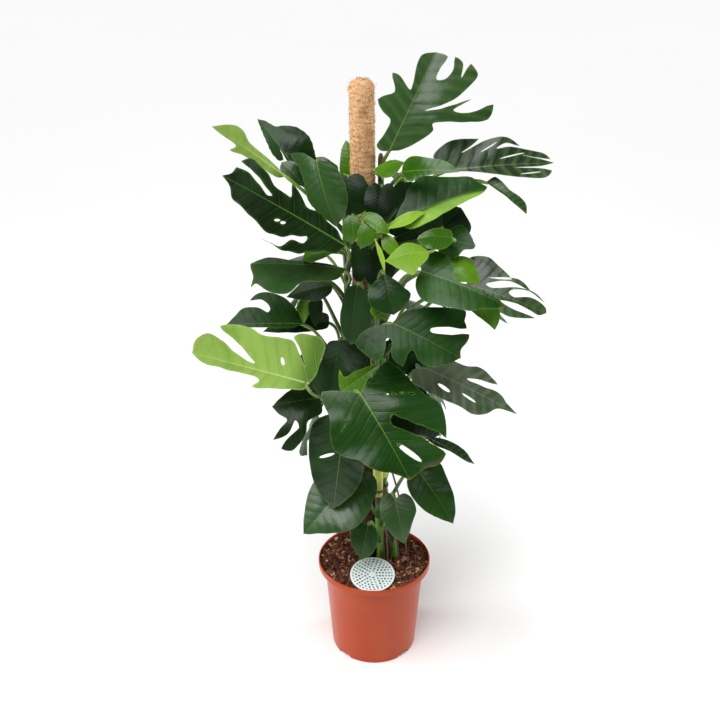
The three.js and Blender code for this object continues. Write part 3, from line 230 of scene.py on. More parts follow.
LEAVES: dict[str, Leaf] = {
    "top_leaf": Leaf(Vine.RIGHT, 1255, (25, -50, 1310), (120, 40, 1490), (0, -0.85, 0.3), 8, 20, 0.06,
        a=((9, 5), (18, 15), (28, 33), (25, 38), (71, 66), (70, 81), (52, 63), (37, 58), (48, 75), (26, 54),
            (14, 46), (32, 65), (42, 87), (44, 99), (34, 105), (31, 89), (27, 102), (18, 104), (21, 92),
            (18, 80), (11, 77), (10, 88), (12, 101)),
        b=((7, -3), (13, 0), (11, 11), (11, 25), (21, 29), (30, 37), (19, 50), (28, 64), (22, 65), (7, 58),
            (7, 64), (11, 91)), look=Look.GREY),
    "plume_leaf": Leaf(Vine.RIGHT, 1120, (140, -30, 1260), (375, 20, 1260), (0.1, -0.6, 0.6), 12, 20, 0.03,
        a=((3, 18), (8, 43), (14, 69), (15, 89), (8, 96), (4, 70), (3, 62), (3, 85)),
        b=((13, -8), (20, -1), (26, 11), (26, 35), (14, 17), (23, 39), (24, 58), (17, 70), (19, 57),
            (15, 49), (16, 63), (9, 91), (3, 97), (9, 70)),
        look=Look.GREY, holes=((-0.17, 0.42, 0.085, 0.006, 25), (-0.08, 0.62, 0.12, 0.006, 10),
            (0.095, 0.76, 0.1, 0.006, -4))),
    "drop_leaf": Leaf(Vine.RIGHT, 1145, (230, -15, 1230), (315, -45, 1170), (0.2, -0.6, 0.7), 20, 40, 0.1,
        a=((4, 17), (5, 45), (5, 74)), b=((18, 8), (12, 43), (14, 70), (13, 87)), look=Look.GREY),
    "lit_leaf_a": Leaf(
        Vine.RIGHT, 1185, (50, -80, 1275), (165, -120, 1290), (0.1, -0.75, 0.65), 12, 24, 0.08,
        a=((13, 11), (21, 21), (13, 33), (5, 77)), b=((14, 3), (23, 15), (21, 50), (16, 77)),
        bend=(10, 0, 0), look=Look.BRIGHT),
    "lit_leaf_b": Leaf(Vine.RIGHT, 1225, (-5, -75, 1280), (55, -105, 1305), (0, -0.6, 0.8), 12, 24, 0.08,
        a=((30, 22), (48, 50), (40, 80)), b=((8, 30), (10, 70)), young=True, look=Look.BRIGHT),
    "fan_leaf": Leaf(Vine.RIGHT, 1090, (35, -110, 1180), (230, -45, 1230), (-0.2, -0.7, 0.65), 10, 20, 0.05,
        a=((16, 11), (17, 26), (12, 52), (8, 76), (5, 93)),
        b=((15, 16), (25, 27), (30, 41), (23, 66), (14, 89), (8, 93)), glow=((0.13, 0.6, 0.12, 0.55, 1),)),
    "dusk_leaf_a": Leaf(Vine.FRONT, 1140, (10, -55, 1235), (0, -86, 1170), (0, -0.85, 0.4), 12, 30, 0.08,
        a=((24, -8), (42, 15), (44, 52), (30, 86)), b=((20, -12), (42, 7), (48, 44), (32, 80)),
        look=Look.DEEP),
    "dusk_leaf_b": Leaf(Vine.RIGHT, 1160, (60, -48, 1243), (60, -50, 1170), (0, -0.85, 0.4), 12, 30, 0.08,
        a=((20, 0), (36, 25), (34, 65)), b=((24, 2), (40, 34), (30, 72)), look=Look.DEEP),
    "dusk_leaf_c": Leaf(Vine.LEFT, 1160, (-60, -38, 1250), (-52, -66, 1172), (0, -0.8, 0.5), 12, 30, 0.08,
        a=((22, -10), (36, 15), (36, 56), (20, 85)), b=((28, -6), (50, 30), (50, 60), (30, 90)),
        look=Look.DEEP),
    "core_leaf_a": Leaf(Vine.FRONT, 1030, (15, -46, 1092), (0, -52, 1003), (0.1, -0.9, 0.3), 12, 30, 0.08,
        a=((14, -8), (30, 12), (38, 50), (26, 84)), b=((18, -6), (30, 10), (36, 44), (26, 80)),
        look=Look.DEEP),
    "core_leaf_b": Leaf(
        Vine.LEFT, 1004, (-40, -35, 1098), (-38, -48, 1010), (-0.1, -0.9, 0.3), 12, 30, 0.08,
        a=((12, -10), (16, 12), (16, 50), (10, 84)), b=((16, -12), (26, 7), (26, 44), (18, 80)),
        look=Look.DEEP),
    "back_lit_leaf": Leaf(
        Vine.BACK, 1140, (-55, 45, 1215), (-65, 80, 1290), (-0.2, -0.8, 0.5), 10, 20, 0.06,
        a=((23, 6), (26, 45), (19, 76)), b=((23, 7), (20, 52), (12, 81)), look=Look.BRIGHT),
    "hump_leaf": Leaf(Vine.BACK, 1120, (-85, 80, 1205), (-135, 110, 1240), (0, -0.5, 0.8), 12, 30, 0.08,
        a=((28, 22), (26, 52), (19, 80)), b=((35, 17), (41, 60), (27, 90)), young=True, look=Look.GREY),
    "slim_leaf": Leaf(
        Vine.LEFT, 1100, (-190, -20, 1245), (-335, -60, 1365), (0.2, 0.85, -0.3), 14, 30, 0.06,
        a=((7, 5), (9, 30), (9, 52), (12, 67), (4, 64), (2, 85)),
        b=((3, 16), (5, 35), (8, 56), (14, 67), (15, 76), (9, 88)), look=Look.PALE),
    "upper_left_leaf": Leaf(
        Vine.BACK, 1090, (-165, 30, 1230), (-255, 100, 1330), (0.1, -0.7, 0.6), 12, 24, 0.08,
        a=((16, -3), (32, 3), (38, 17), (42, 34), (37, 56), (25, 68), (13, 75), (7, 90)),
        b=((5, 10), (4, 22), (2, 44), (7, 28), (13, 30), (16, 43), (12, 62), (6, 83))),
    "sheen_leaf": Leaf(
        Vine.LEFT, 1180, (-125, -40, 1285), (-85, -90, 1160), (-0.3, -0.75, 0.5), 10, 30, 0.08,
        a=((18, -17), (39, -22), (29, -1), (26, 26), (26, 54), (16, 77)),
        b=((16, 6), (30, 25), (34, 54), (27, 77), (15, 91)), look=Look.SHEEN),
    "grey_leaf_a": Leaf(Vine.LEFT, 1060, (-150, -10, 1215), (-200, 10, 1265), (0, -0.7, 0.7), 10, 26, 0.08,
        a=((21, 26), (32, 58), (21, 84)), b=((13, 24), (25, 58), (19, 88)), young=True, look=Look.GREY),
    "big_left_leaf": Leaf(
        Vine.LEFT, 990, (-65, -120, 1130), (-310, -140, 1290), (-0.15, -0.75, 0.6), 6, 14, 0.04,
        a=((6, 12), (10, 28), (10, 38), (14, 46), (18, 55), (10, 52), (11, 64), (17, 76), (20, 86), (15, 93),
            (12, 79), (7, 71), (5, 64), (3, 67), (7, 75), (10, 84), (10, 94), (4, 95)),
        b=((7, 3), (15, 19), (23, 31), (25, 42), (25, 58), (24, 44), (17, 38), (14, 29), (9, 28), (12, 35),
            (20, 53), (17, 64), (15, 76), (11, 86), (3, 94)),
        holes=((-0.09, 0.53, 0.022, 0.009, 30), (-0.085, 0.485, 0.02, 0.01, 30))),
    "under_leaf": Leaf(Vine.LEFT, 1030, (-90, -80, 1100), (-155, -90, 1085), (0, -0.4, 0.9),
        a=((8, 41), (30, 83)), b=((25, 36), (30, 76)), young=True, look=Look.BRIGHT),
    "fluted_leaf": Leaf(Vine.LEFT, 960, (-65, -80, 1060), (-265, -100, 1080), (0, -0.4, 0.8), 10, 20, 0.03,
        a=((3, 17), (5, 38), (5, 58), (8, 82), (6, 88)),
        b=((16, 9), (23, 28), (26, 46), (41, 63), (38, 78), (26, 94), (31, 99), (18, 97), (9, 99)),
        bend=(0, 0, -10), look=Look.SHEEN),
    "round_leaf": Leaf(Vine.LEFT, 940, (-95, -30, 1000), (-195, -40, 975), (0, -0.5, 0.85), 10, 20, 0.06,
        a=((15, 19), (22, 54), (10, 78)), b=((20, 6), (33, 28), (26, 65)), bend=(0, 0, -15)),
    "hang_leaf_a": Leaf(Vine.LEFT, 922, (-160, 10, 950), (-160, 0, 890), (-0.2, -0.9, 0.2), 12, 20, 0.08,
        a=((21, 17), (21, 61)), b=((20, 8), (25, 47)), bend=(0, 35, 30), young=True, look=Look.BRIGHT),
    "hang_leaf_b": Leaf(Vine.LEFT, 905, (-130, -5, 960), (-135, -15, 890), (0, -0.9, 0.2), 12, 20, 0.08,
        a=((21, 11), (21, 56)), b=((17, 12), (18, 70)), bend=(0, 30, 30), young=True, look=Look.DEEP),
    "slit_leaf": Leaf(Vine.LEFT, 720, (-160, -40, 910), (-330, -60, 915), (0, -0.7, 0.7), 8, 20, 0.05,
        a=((17, 7), (27, 15), (36, 25), (43, 40), (42, 56), (32, 67), (33, 52), (19, 42), (14, 45), (21, 57),
            (22, 74), (12, 87)), b=((6, 15), (6, 46), (4, 73))),
    "pale_leaf": Leaf(Vine.LEFT, 700, (-145, -140, 815), (-390, -170, 905), (0.2, 0.8, -0.4), 4, 16, 0.04,
        a=((5, 2), (10, 18), (13, 34), (15, 45), (8, 40), (6, 60), (6, 87)),
        b=((11, -4), (35, -3), (40, 3), (38, 16), (33, 23), (26, 15), (13, 7), (23, 15), (30, 23), (31, 34),
            (29, 51), (32, 60), (30, 77), (26, 83), (19, 69), (12, 59), (5, 48), (7, 62), (16, 78), (18, 94),
            (13, 100)), bend=(-30, -30, -30), look=Look.PALE, holes=((-0.12, 0.26, 0.035, 0.014, 60),)),
    "claw_leaf": Leaf(Vine.LEFT, 540, (-125, -80, 745), (-230, -110, 740), (-0.1, -0.7, 0.7), 10, 26, 0.06,
        a=((23, 14), (31, 37), (23, 64)),
        b=((31, 2), (47, 36), (70, 44), (100, 76), (90, 98), (71, 81), (54, 56), (40, 61), (63, 80),
            (68, 111), (46, 91), (35, 77), (19, 90))),
    "veil_leaf": Leaf(Vine.LEFT, 480, (-65, -70, 705), (-95, -140, 490), (-0.1, -0.85, 0.4), 8, 24, 0.06,
        a=((16, 5), (30, 14), (33, 32), (29, 58), (16, 86), (6, 95)),
        b=((15, 6), (25, 29), (25, 55), (23, 68), (16, 83), (7, 94)),
        look=Look.SHEEN, holes=((0.13, 0.46, 0.08, 0.016, 65),)),
    "apron_leaf": Leaf(Vine.FRONT, 375, (-40, -60, 530), (-165, -150, 425), (-0.2, -0.8, 0.5), 10, 22, 0.06,
        a=((20, 3), (33, 24), (33, 48), (24, 69), (11, 87)),
        b=((9, -12), (27, -6), (37, 11), (45, 43), (38, 64), (20, 82)), bend=(-5, -15, 0), look=Look.SHEEN),
    "front_leaf": Leaf(Vine.FRONT, 560, (-35, -200, 825), (70, -290, 665), (0.05, -0.65, 0.75), 8, 22, 0.06,
        a=((12, -9), (32, -20), (38, -8), (41, 8), (49, 22), (52, 35), (47, 47), (37, 56), (27, 74),
            (11, 87)),
        b=((11, -5), (27, -11), (44, -15), (52, 8), (56, 28), (67, 49), (67, 60), (55, 83), (50, 72),
            (36, 58), (15, 35), (11, 43), (22, 56), (33, 72), (42, 87), (46, 96), (32, 101), (18, 98)),
        look=Look.RICH, holes=((-0.125, 0.76, 0.155, 0.027, 25), (-0.22, 0.14, 0.03, 0.008, 65),
            (-0.29, 0.175, 0.025, 0.008, 60), (-0.37, 0.21, 0.03, 0.01, 55), (-0.45, 0.26, 0.03, 0.009, 55),
            (0.305, 0.2, 0.08, 0.007, 65))),
    "fold_leaf": Leaf(Vine.FRONT, 640, (-75, -115, 780), (10, -105, 845), (-0.2, -0.8, 0.5), 20, 30, 0.06,
        a=((19, 17), (25, 36), (13, 62), (6, 80)), b=((10, 2), (39, 24), (22, 24), (17, 52), (10, 76)),
        look=Look.BRIGHT),
    "table_leaf": Leaf(Vine.FRONT, 760, (35, -180, 980), (175, -210, 915), (0.1, -0.8, 0.6), 6, 18, 0.04,
        a=((10, -15), (24, -29), (45, -34), (53, -16), (57, 2), (47, 7), (22, 1), (22, 7), (42, 18),
            (46, 36), (29, 35), (21, 38), (30, 53), (29, 71), (16, 88)),
        b=((16, 4), (30, 16), (54, 58), (62, 79), (49, 83), (40, 90), (29, 66), (15, 47), (12, 49), (21, 73),
            (34, 96), (23, 98), (9, 95))),
    "grey_leaf": Leaf(Vine.RIGHT, 620, (110, -60, 810), (315, -100, 715), (0.15, -0.7, 0.7), 8, 20, 0.04,
        a=((7, -10), (19, -6), (22, 9), (22, 28), (21, 43), (22, 58), (16, 71), (5, 80)),
        b=((12, 6), (17, 19), (19, 35), (24, 46), (22, 58), (16, 70), (13, 53), (8, 41), (8, 57), (10, 73),
            (4, 88)), look=Look.ASH, holes=((0.11, 0.24, 0.07, 0.02, 10), (0.09, 0.5, 0.08, 0.012, 8))),
    "edge_leaf": Leaf(Vine.RIGHT, 520, (110, -80, 645), (225, -110, 590), (0.2, -0.6, 0.7), 30, 20, 0.05,
        a=((9, 23), (5, 51), (6, 84)), b=((9, 22), (13, 47), (11, 72)), look=Look.GREY),
    "heart_leaf_a": Leaf(
        Vine.RIGHT, 400, (100, -80, 550), (180, -130, 440), (0.2, -0.75, 0.6), 12, 24, 0.07,
        a=((16, -6), (27, 5), (34, 25), (30, 55), (12, 85)),
        b=((22, -2), (36, 8), (32, 35), (24, 61), (12, 86)), look=Look.MID),
    "heart_leaf_b": Leaf(Vine.FRONT, 350, (45, -140, 515), (65, -180, 420), (0, -0.85, 0.5),
        a=((11, -15), (25, -9), (36, 10), (35, 40), (22, 74)),
        b=((19, -9), (35, 2), (40, 31), (25, 59), (12, 86)), look=Look.SHEEN),
    "heart_leaf_c": Leaf(Vine.FRONT, 300, (-15, -80, 402), (-30, -100, 315), (-0.2, -0.85, 0.4),
        a=((24, 0), (40, 40), (22, 78)), b=((20, 2), (34, 34), (24, 74))),
    "lime_leaf": Leaf(Vine.RIGHT, 1020, (105, -190, 1145), (15, -210, 1135), (-0.1, -0.6, 0.8), 12, 26, 0.1,
        a=((18, 20), (27, 47), (18, 71), (5, 90)), b=((19, 11), (37, 34), (53, 52), (36, 72), (17, 89)),
        bend=(0, 0, 25), look=Look.LIME),
    "gloss_leaf": Leaf(Vine.RIGHT, 1050, (155, -140, 1155), (80, -160, 1160), (0, -0.5, 0.85), 14, 34, 0.1,
        a=((22, 1), (27, 27), (21, 62), (11, 90)), b=((28, 17), (42, 45), (34, 84)), look=Look.BRIGHT),
    "lobe_leaf_a": Leaf(Vine.RIGHT, 1000, (140, -40, 1140), (180, -10, 1170), (0.2, -0.8, 0.6),
        a=((50, 0), (95, 30), (80, 75), (30, 90)), b=((36, 31), (34, 72))),
    "lobe_leaf_b": Leaf(Vine.RIGHT, 980, (145, -80, 1125), (205, -110, 1125), (0.2, -0.75, 0.6),
        a=((50, -15), (62, 15), (51, 56), (24, 71), (13, 96)), b=((40, 5), (59, 33), (32, 73))),
    "wing_leaf": Leaf(Vine.RIGHT, 880, (90, -170, 1095), (260, -220, 1040), (0.1, -0.7, 0.75), 10, 26, 0.06,
        a=((13, -1), (25, 5), (33, 15), (33, 30), (25, 67), (15, 80), (7, 94)),
        b=((20, -8), (29, 7), (27, 21), (16, 32), (4, 38), (3, 55), (3, 71), (3, 90)), look=Look.MID),
    "glow_leaf_a": Leaf(
        Vine.RIGHT, 930, (150, -130, 1080), (215, -140, 1050), (0.2, -0.7, 0.7), 10, 40, 0.08,
        a=((31, 18), (16, 58)), b=((34, -12), (67, 15), (92, 45), (39, 71)), look=Look.BRIGHT),
    "glow_leaf_b": Leaf(
        Vine.RIGHT, 850, (200, -170, 1035), (245, -190, 970), (0.2, -0.8, 0.5), 16, 20, 0.08,
        a=((30, 3), (25, 34), (11, 71)), b=((26, 19), (37, 58), (20, 86)), look=Look.BRIGHT),
    "ray_leaf": Leaf(Vine.RIGHT, 800, (195, -60, 1015), (365, -90, 960), (0.15, -0.7, 0.7), 8, 16, 0.04,
        a=((14, 8), (23, 33), (29, 47), (32, 60), (22, 46), (23, 60), (13, 89), (12, 59), (7, 43), (3, 62),
            (5, 80), (7, 91)),
        b=((19, -8), (34, -7), (40, 14), (35, 26), (24, 48), (15, 17), (27, 55), (18, 74), (21, 47),
            (13, 28), (7, 21), (5, 27), (17, 60), (18, 79), (11, 95), (17, 71), (11, 53), (6, 50), (3, 57),
            (10, 76), (9, 90), (5, 98)), look=Look.GREY),
    "mid_heart_leaf": Leaf(
        Vine.FRONT, 920, (15, -140, 1075), (35, -180, 1000), (0, -0.85, 0.5), 14, 30, 0.1,
        a=((23, 10), (48, 36), (50, 64), (33, 85)), b=((20, 18), (38, 42), (51, 61), (31, 86))),
    "curl_leaf": Leaf(Vine.FRONT, 860, (-10, -150, 1010), (20, -150, 972), (0, -0.8, 0.6), 25, 50, 0.1,
        a=((28, 15), (31, 53)), b=((18, 24), (26, 61), (15, 88)), bend=(25, 0, 0), look=Look.BRIGHT),
    "inner_leaf_a": Leaf(
        Vine.FRONT, 890, (-40, -85, 1025), (-55, -100, 890), (-0.2, -0.9, 0.2), 14, 30, 0.06,
        a=((14, 5), (20, 45), (14, 82)), b=((20, 10), (29, 42), (26, 80)), look=Look.DEEP),
    "inner_leaf_b": Leaf(Vine.LEFT, 860, (-65, -80, 985), (-70, -90, 895), (-0.2, -0.9, 0.2), 14, 30, 0.06,
        a=((10, 22), (8, 67)), b=((17, 19), (18, 64)), young=True, look=Look.BRIGHT),
    "shade_leaf": Leaf(Vine.LEFT, 760, (-80, -40, 870), (-95, -90, 760), (-0.2, -0.9, 0.3),
        a=((19, 6), (26, 40), (18, 76)), b=((30, 0), (54, 30), (48, 72), (20, 96)), look=Look.DEEP),
    "bud_a": Leaf(Vine.FRONT, 1115, (-50, -140, 1205), (-50, -160, 1150), (0, -0.85, 0.5), 10, 30, 0.1,
        a=((23, 9), (37, 47), (26, 82)), b=((19, 13), (29, 54)),
        bend=(0, 0, -25), young=True, look=Look.BRIGHT),
    "bud_b": Leaf(Vine.FRONT, 1100, (-30, -165, 1200), (-35, -185, 1150), (0, -0.85, 0.5), 10, 30, 0.1,
        a=((14, 34), (10, 74)), b=((30, 19), (65, 49), (36, 78)),
        bend=(0, 0, -25), young=True, look=Look.BRIGHT),
    "bud_c": Leaf(Vine.FRONT, 1125, (-35, -135, 1205), (25, -165, 1175), (0, -0.7, 0.7), 10, 30, 0.1,
        a=((12, 25), (18, 53), (15, 81)), b=((19, 21), (24, 47), (17, 75)),
        bend=(0, 0, -25), young=True, look=Look.BRIGHT),
    "bud_d": Leaf(Vine.FRONT, 1090, (-5, -180, 1170), (15, -200, 1105), (0, -0.85, 0.5), 30, 30, 0.1,
        a=((4, 31), (4, 64)), b=((9, 31), (11, 64)), bend=(0, 0, -25), young=True, look=Look.LIME),
    "bud_e": Leaf(Vine.FRONT, 1080, (10, -150, 1170), (45, -170, 1125), (0, -0.85, 0.5), 14, 30, 0.1,
        a=((27, 35), (22, 75)), b=((18, 25), (20, 68)), bend=(0, 0, -25), young=True, look=Look.BRIGHT),
    "bud_f": Leaf(Vine.FRONT, 1135, (20, -130, 1170), (100, -110, 1200), (0, -0.6, 0.8), 25, 30, 0.1,
        a=((16, 28), (19, 60)), b=((12, 35), (11, 72)), bend=(0, 0, -25), young=True, look=Look.LIME),
    "back_leaf_a": Leaf(Vine.RIGHT, 1000, (45, 70, 1070), (175, 110, 1110), (0.1, -0.9, 0.5),
        young=True, look=Look.DEEP),
    "back_leaf_b": Leaf(Vine.LEFT, 690, (-105, 60, 865), (-260, 90, 825), (0, -0.5, 0.85),
        a=((12, 2), (17, 30), (12, 70)), b=((12, 2), (17, 30), (12, 70)), young=True, look=Look.DEEP),
    "back_leaf_c": Leaf(Vine.RIGHT, 560, (45, 80, 640), (165, 95, 545), (0.2, -0.9, 0.4),
        young=True, look=Look.DEEP),
    "back_leaf_d": Leaf(Vine.LEFT, 560, (-125, 45, 765), (-165, 45, 645), (-0.2, -0.9, 0.3),
        bend=(0, 25, 0), young=True, look=Look.DEEP),
    "back_leaf_e": Leaf(Vine.RIGHT, 760, (50, 60, 820), (130, 60, 725), (0.2, -0.9, 0.4),
        young=True, look=Look.DEEP),
    "side_leaf_a": Leaf(Vine.RIGHT, 880, (110, 60, 1010), (150, 150, 870), (0.95, 0.1, 0.3), a=Half.CUT,
        young=True),
    "side_leaf_b": Leaf(Vine.RIGHT, 640, (110, 30, 760), (150, -20, 600), (0.95, -0.1, 0.3), b=Half.TORN,
        young=True),
    "side_leaf_c": Leaf(Vine.LEFT, 820, (-150, 60, 960), (-200, 140, 820), (-0.9, 0.2, 0.4), b=Half.CUT,
        young=True),
    "side_leaf_d": Leaf(Vine.LEFT, 485, (-135, 45, 620), (-165, 110, 475), (-0.9, 0.1, 0.4), a=Half.TORN,
        young=True),
    "side_leaf_e": Leaf(Vine.BACK, 1060, (-70, 160, 1165), (-130, 290, 1110), (-0.1, 0.5, 0.8), a=Half.TORN,
        b=Half.CUT, young=True),
    "rear_leaf_a": Leaf(Vine.BACK, 980, (60, 190, 1170), (150, 330, 1060), (0.3, 0.6, 0.75), 10, 24, 0.08,
        a=Half.CUT, b=Half.TORN),
    "rear_leaf_b": Leaf(Vine.BACK, 800, (-110, 180, 980), (-200, 330, 880), (-0.4, 0.5, 0.8), 10, 24, 0.08,
        a=Half.TORN, b=Half.CUT),
    "rear_leaf_c": Leaf(Vine.BACK, 630, (70, 190, 840), (150, 350, 740), (0.4, 0.5, 0.8), 10, 24, 0.08,
        a=Half.CUT, b=Half.CUT),
    "rear_leaf_d": Leaf(Vine.BACK, 480, (-60, 170, 680), (-120, 310, 570), (-0.2, 0.6, 0.8), 10, 24, 0.08,
        a=Half.TORN, b=Half.TORN),
    "rear_leaf_e": Leaf(Vine.BACK, 340, (60, 140, 500), (100, 250, 400), (0.2, 0.6, 0.7)),
}


class Graph:
    """Builds a node tree, step by step."""

    def __init__(self, tree: bpy.types.NodeTree) -> None:
        """Start on a tree."""
        self.tree = tree

    def feed(self, socket: Socket, value: object) -> None:
        """Link an output to a socket, or set the socket's own value."""
        if isinstance(value, Socket):
            self.tree.links.new(value, socket)
        else:
            socket.default_value = value

    def add(
        self, kind: str, given: dict[str | int, object] | None = None, **settings: object
    ) -> bpy.types.Node:
        """Add a node.

        Args:
            kind: the node's type.
            given: values and outputs that go into it, by the name or place of an input in use.
            settings: its further settings.

        Returns:
            The node.
        """
        node = self.tree.nodes.new(kind)
        for label, value in settings.items():
            setattr(node, label, value)
        used = [s for s in node.inputs if s.enabled]
        for key, value in (given or {}).items():
            socket = used[key] if isinstance(key, int) else next(s for s in used if s.name == key)
            self.feed(socket, value)
        return node

    def result(self, node: bpy.types.Node) -> Socket:
        """A node's first output in use."""
        return next(s for s in node.outputs if s.enabled)

    def math(self, operation: str, *values: object) -> Socket:
        """One sum on outputs and plain numbers, by the name of its operation."""
        return self.result(self.add("ShaderNodeMath", dict(enumerate(values)), operation=operation))

    def times(self, first: object, second: object) -> Socket:
        """The two multiplied."""
        return self.math("MULTIPLY", first, second)

    def plus(self, first: object, second: object) -> Socket:
        """The two added."""
        return self.math("ADD", first, second)

    def minus(self, first: object, second: object) -> Socket:
        """The first less the second."""
        return self.math("SUBTRACT", first, second)

    def rest(self, value: object) -> Socket:
        """What is left of 1."""
        return self.minus(1.0, value)


class Sketch(Graph):
    """Builds the node tree of one material."""

    def __init__(self, name: str) -> None:
        """Start an empty material with a surface shader."""
        self.material = bpy.data.materials.new(name)
        self.material.use_nodes = True
        super().__init__(self.material.node_tree)
        self.tree.nodes.clear()
        self.shader = self.add("ShaderNodeBsdfPrincipled")
        self.add("ShaderNodeOutputMaterial", {"Surface": self.shader.outputs["BSDF"]})

    def ease(self, value: object, low: float, high: float) -> Socket:
        """Ease a value from 0 at low to 1 at high."""
        given = {"Value": value, "From Min": low, "From Max": high}
        return self.result(self.add("ShaderNodeMapRange", given, interpolation_type="SMOOTHSTEP"))

    def blend(self, share: object, first: object, second: object) -> Socket:
        """Blend two colours, each an output or a screen colour, by a share."""
        pair = [c if isinstance(c, Socket) else linear(c) for c in (first, second)]
        return self.result(self.add("ShaderNodeMix", dict(enumerate((share, *pair))), data_type="RGBA"))

    def place(self) -> Socket:
        """The point on the object, in metres."""
        return self.add("ShaderNodeTexCoord").outputs["Object"]

    def noise(self, scale: float, detail: float = 3.0, vector: object = None) -> Socket:
        """Noise of 0 to 1 with lumps in a metre and finer layers, over the object or a vector."""
        given = {"Scale": scale, "Detail": detail, "Vector": self.place() if vector is None else vector}
        return self.add("ShaderNodeTexNoise", given).outputs["Fac"]

    def stretch(self, factors: Point) -> Socket:
        """The object's coordinates, stretched along its axes."""
        return self.result(self.add("ShaderNodeMapping", {"Scale": factors, "Vector": self.place()}))

    def attribute(self, name: str) -> Socket:
        """A value stored on the mesh."""
        return self.add("ShaderNodeAttribute", attribute_name=name).outputs["Fac"]

    def flat(self) -> tuple[Socket, Socket]:
        """The two numbers of the mesh's own flat map."""
        flat = self.add("ShaderNodeUVMap", uv_map="flat")
        split = self.add("ShaderNodeSeparateXYZ", {0: flat.outputs["UV"]})
        return split.outputs["X"], split.outputs["Y"]

    def bump(self, height: object, depth: float, strength: float = 1.0) -> None:
        """Raise the surface by a height map, on top of any earlier one.

        Args:
            height: the map, 0 to 1.
            depth: what 1 stands for, in metres.
            strength: how much of it shows.
        """
        given = {"Distance": depth, "Strength": strength, "Height": height}
        normal = self.shader.inputs["Normal"]
        if normal.is_linked:
            given["Normal"] = normal.links[0].from_socket
        self.feed(normal, self.add("ShaderNodeBump", given).outputs["Normal"])

    def finish(self, colour: object, roughness: object, **constants: float) -> bpy.types.Material:
        """Set the surface's colour, roughness and constants.

        Args:
            colour: colour or output.
            roughness: roughness or output.
            constants: further shader inputs by name, with _ for spaces.

        Returns:
            The material.
        """
        self.feed(self.shader.inputs["Base Color"], colour)
        self.feed(self.shader.inputs["Roughness"], roughness)
        for name, value in constants.items():
            self.shader.inputs[name.replace("_", " ")].default_value = value
        return self.material


@dataclass(frozen=True)
class Veins:
    """The pattern of side veins: how many leave each side of the midrib, and how they run."""

    count: float = 9.0
    slope: float = 0.62
    sag: float = 0.35

    def phase(self, out: np.ndarray, forward: np.ndarray) -> np.ndarray:
        """Position between veins, a whole number on each vein."""
        reach = np.abs(out)
        return (forward - self.slope * reach + self.sag * reach * reach) * self.count

    def nodes(self, sketch: Sketch, reach: object, forward: object) -> Socket:
        """The same position as phase, from nodes."""
        bent = sketch.times(sketch.times(reach, reach), self.sag)
        straight = sketch.minus(forward, sketch.times(reach, self.slope))
        return sketch.times(sketch.plus(straight, bent), self.count)


VEINS = Veins()


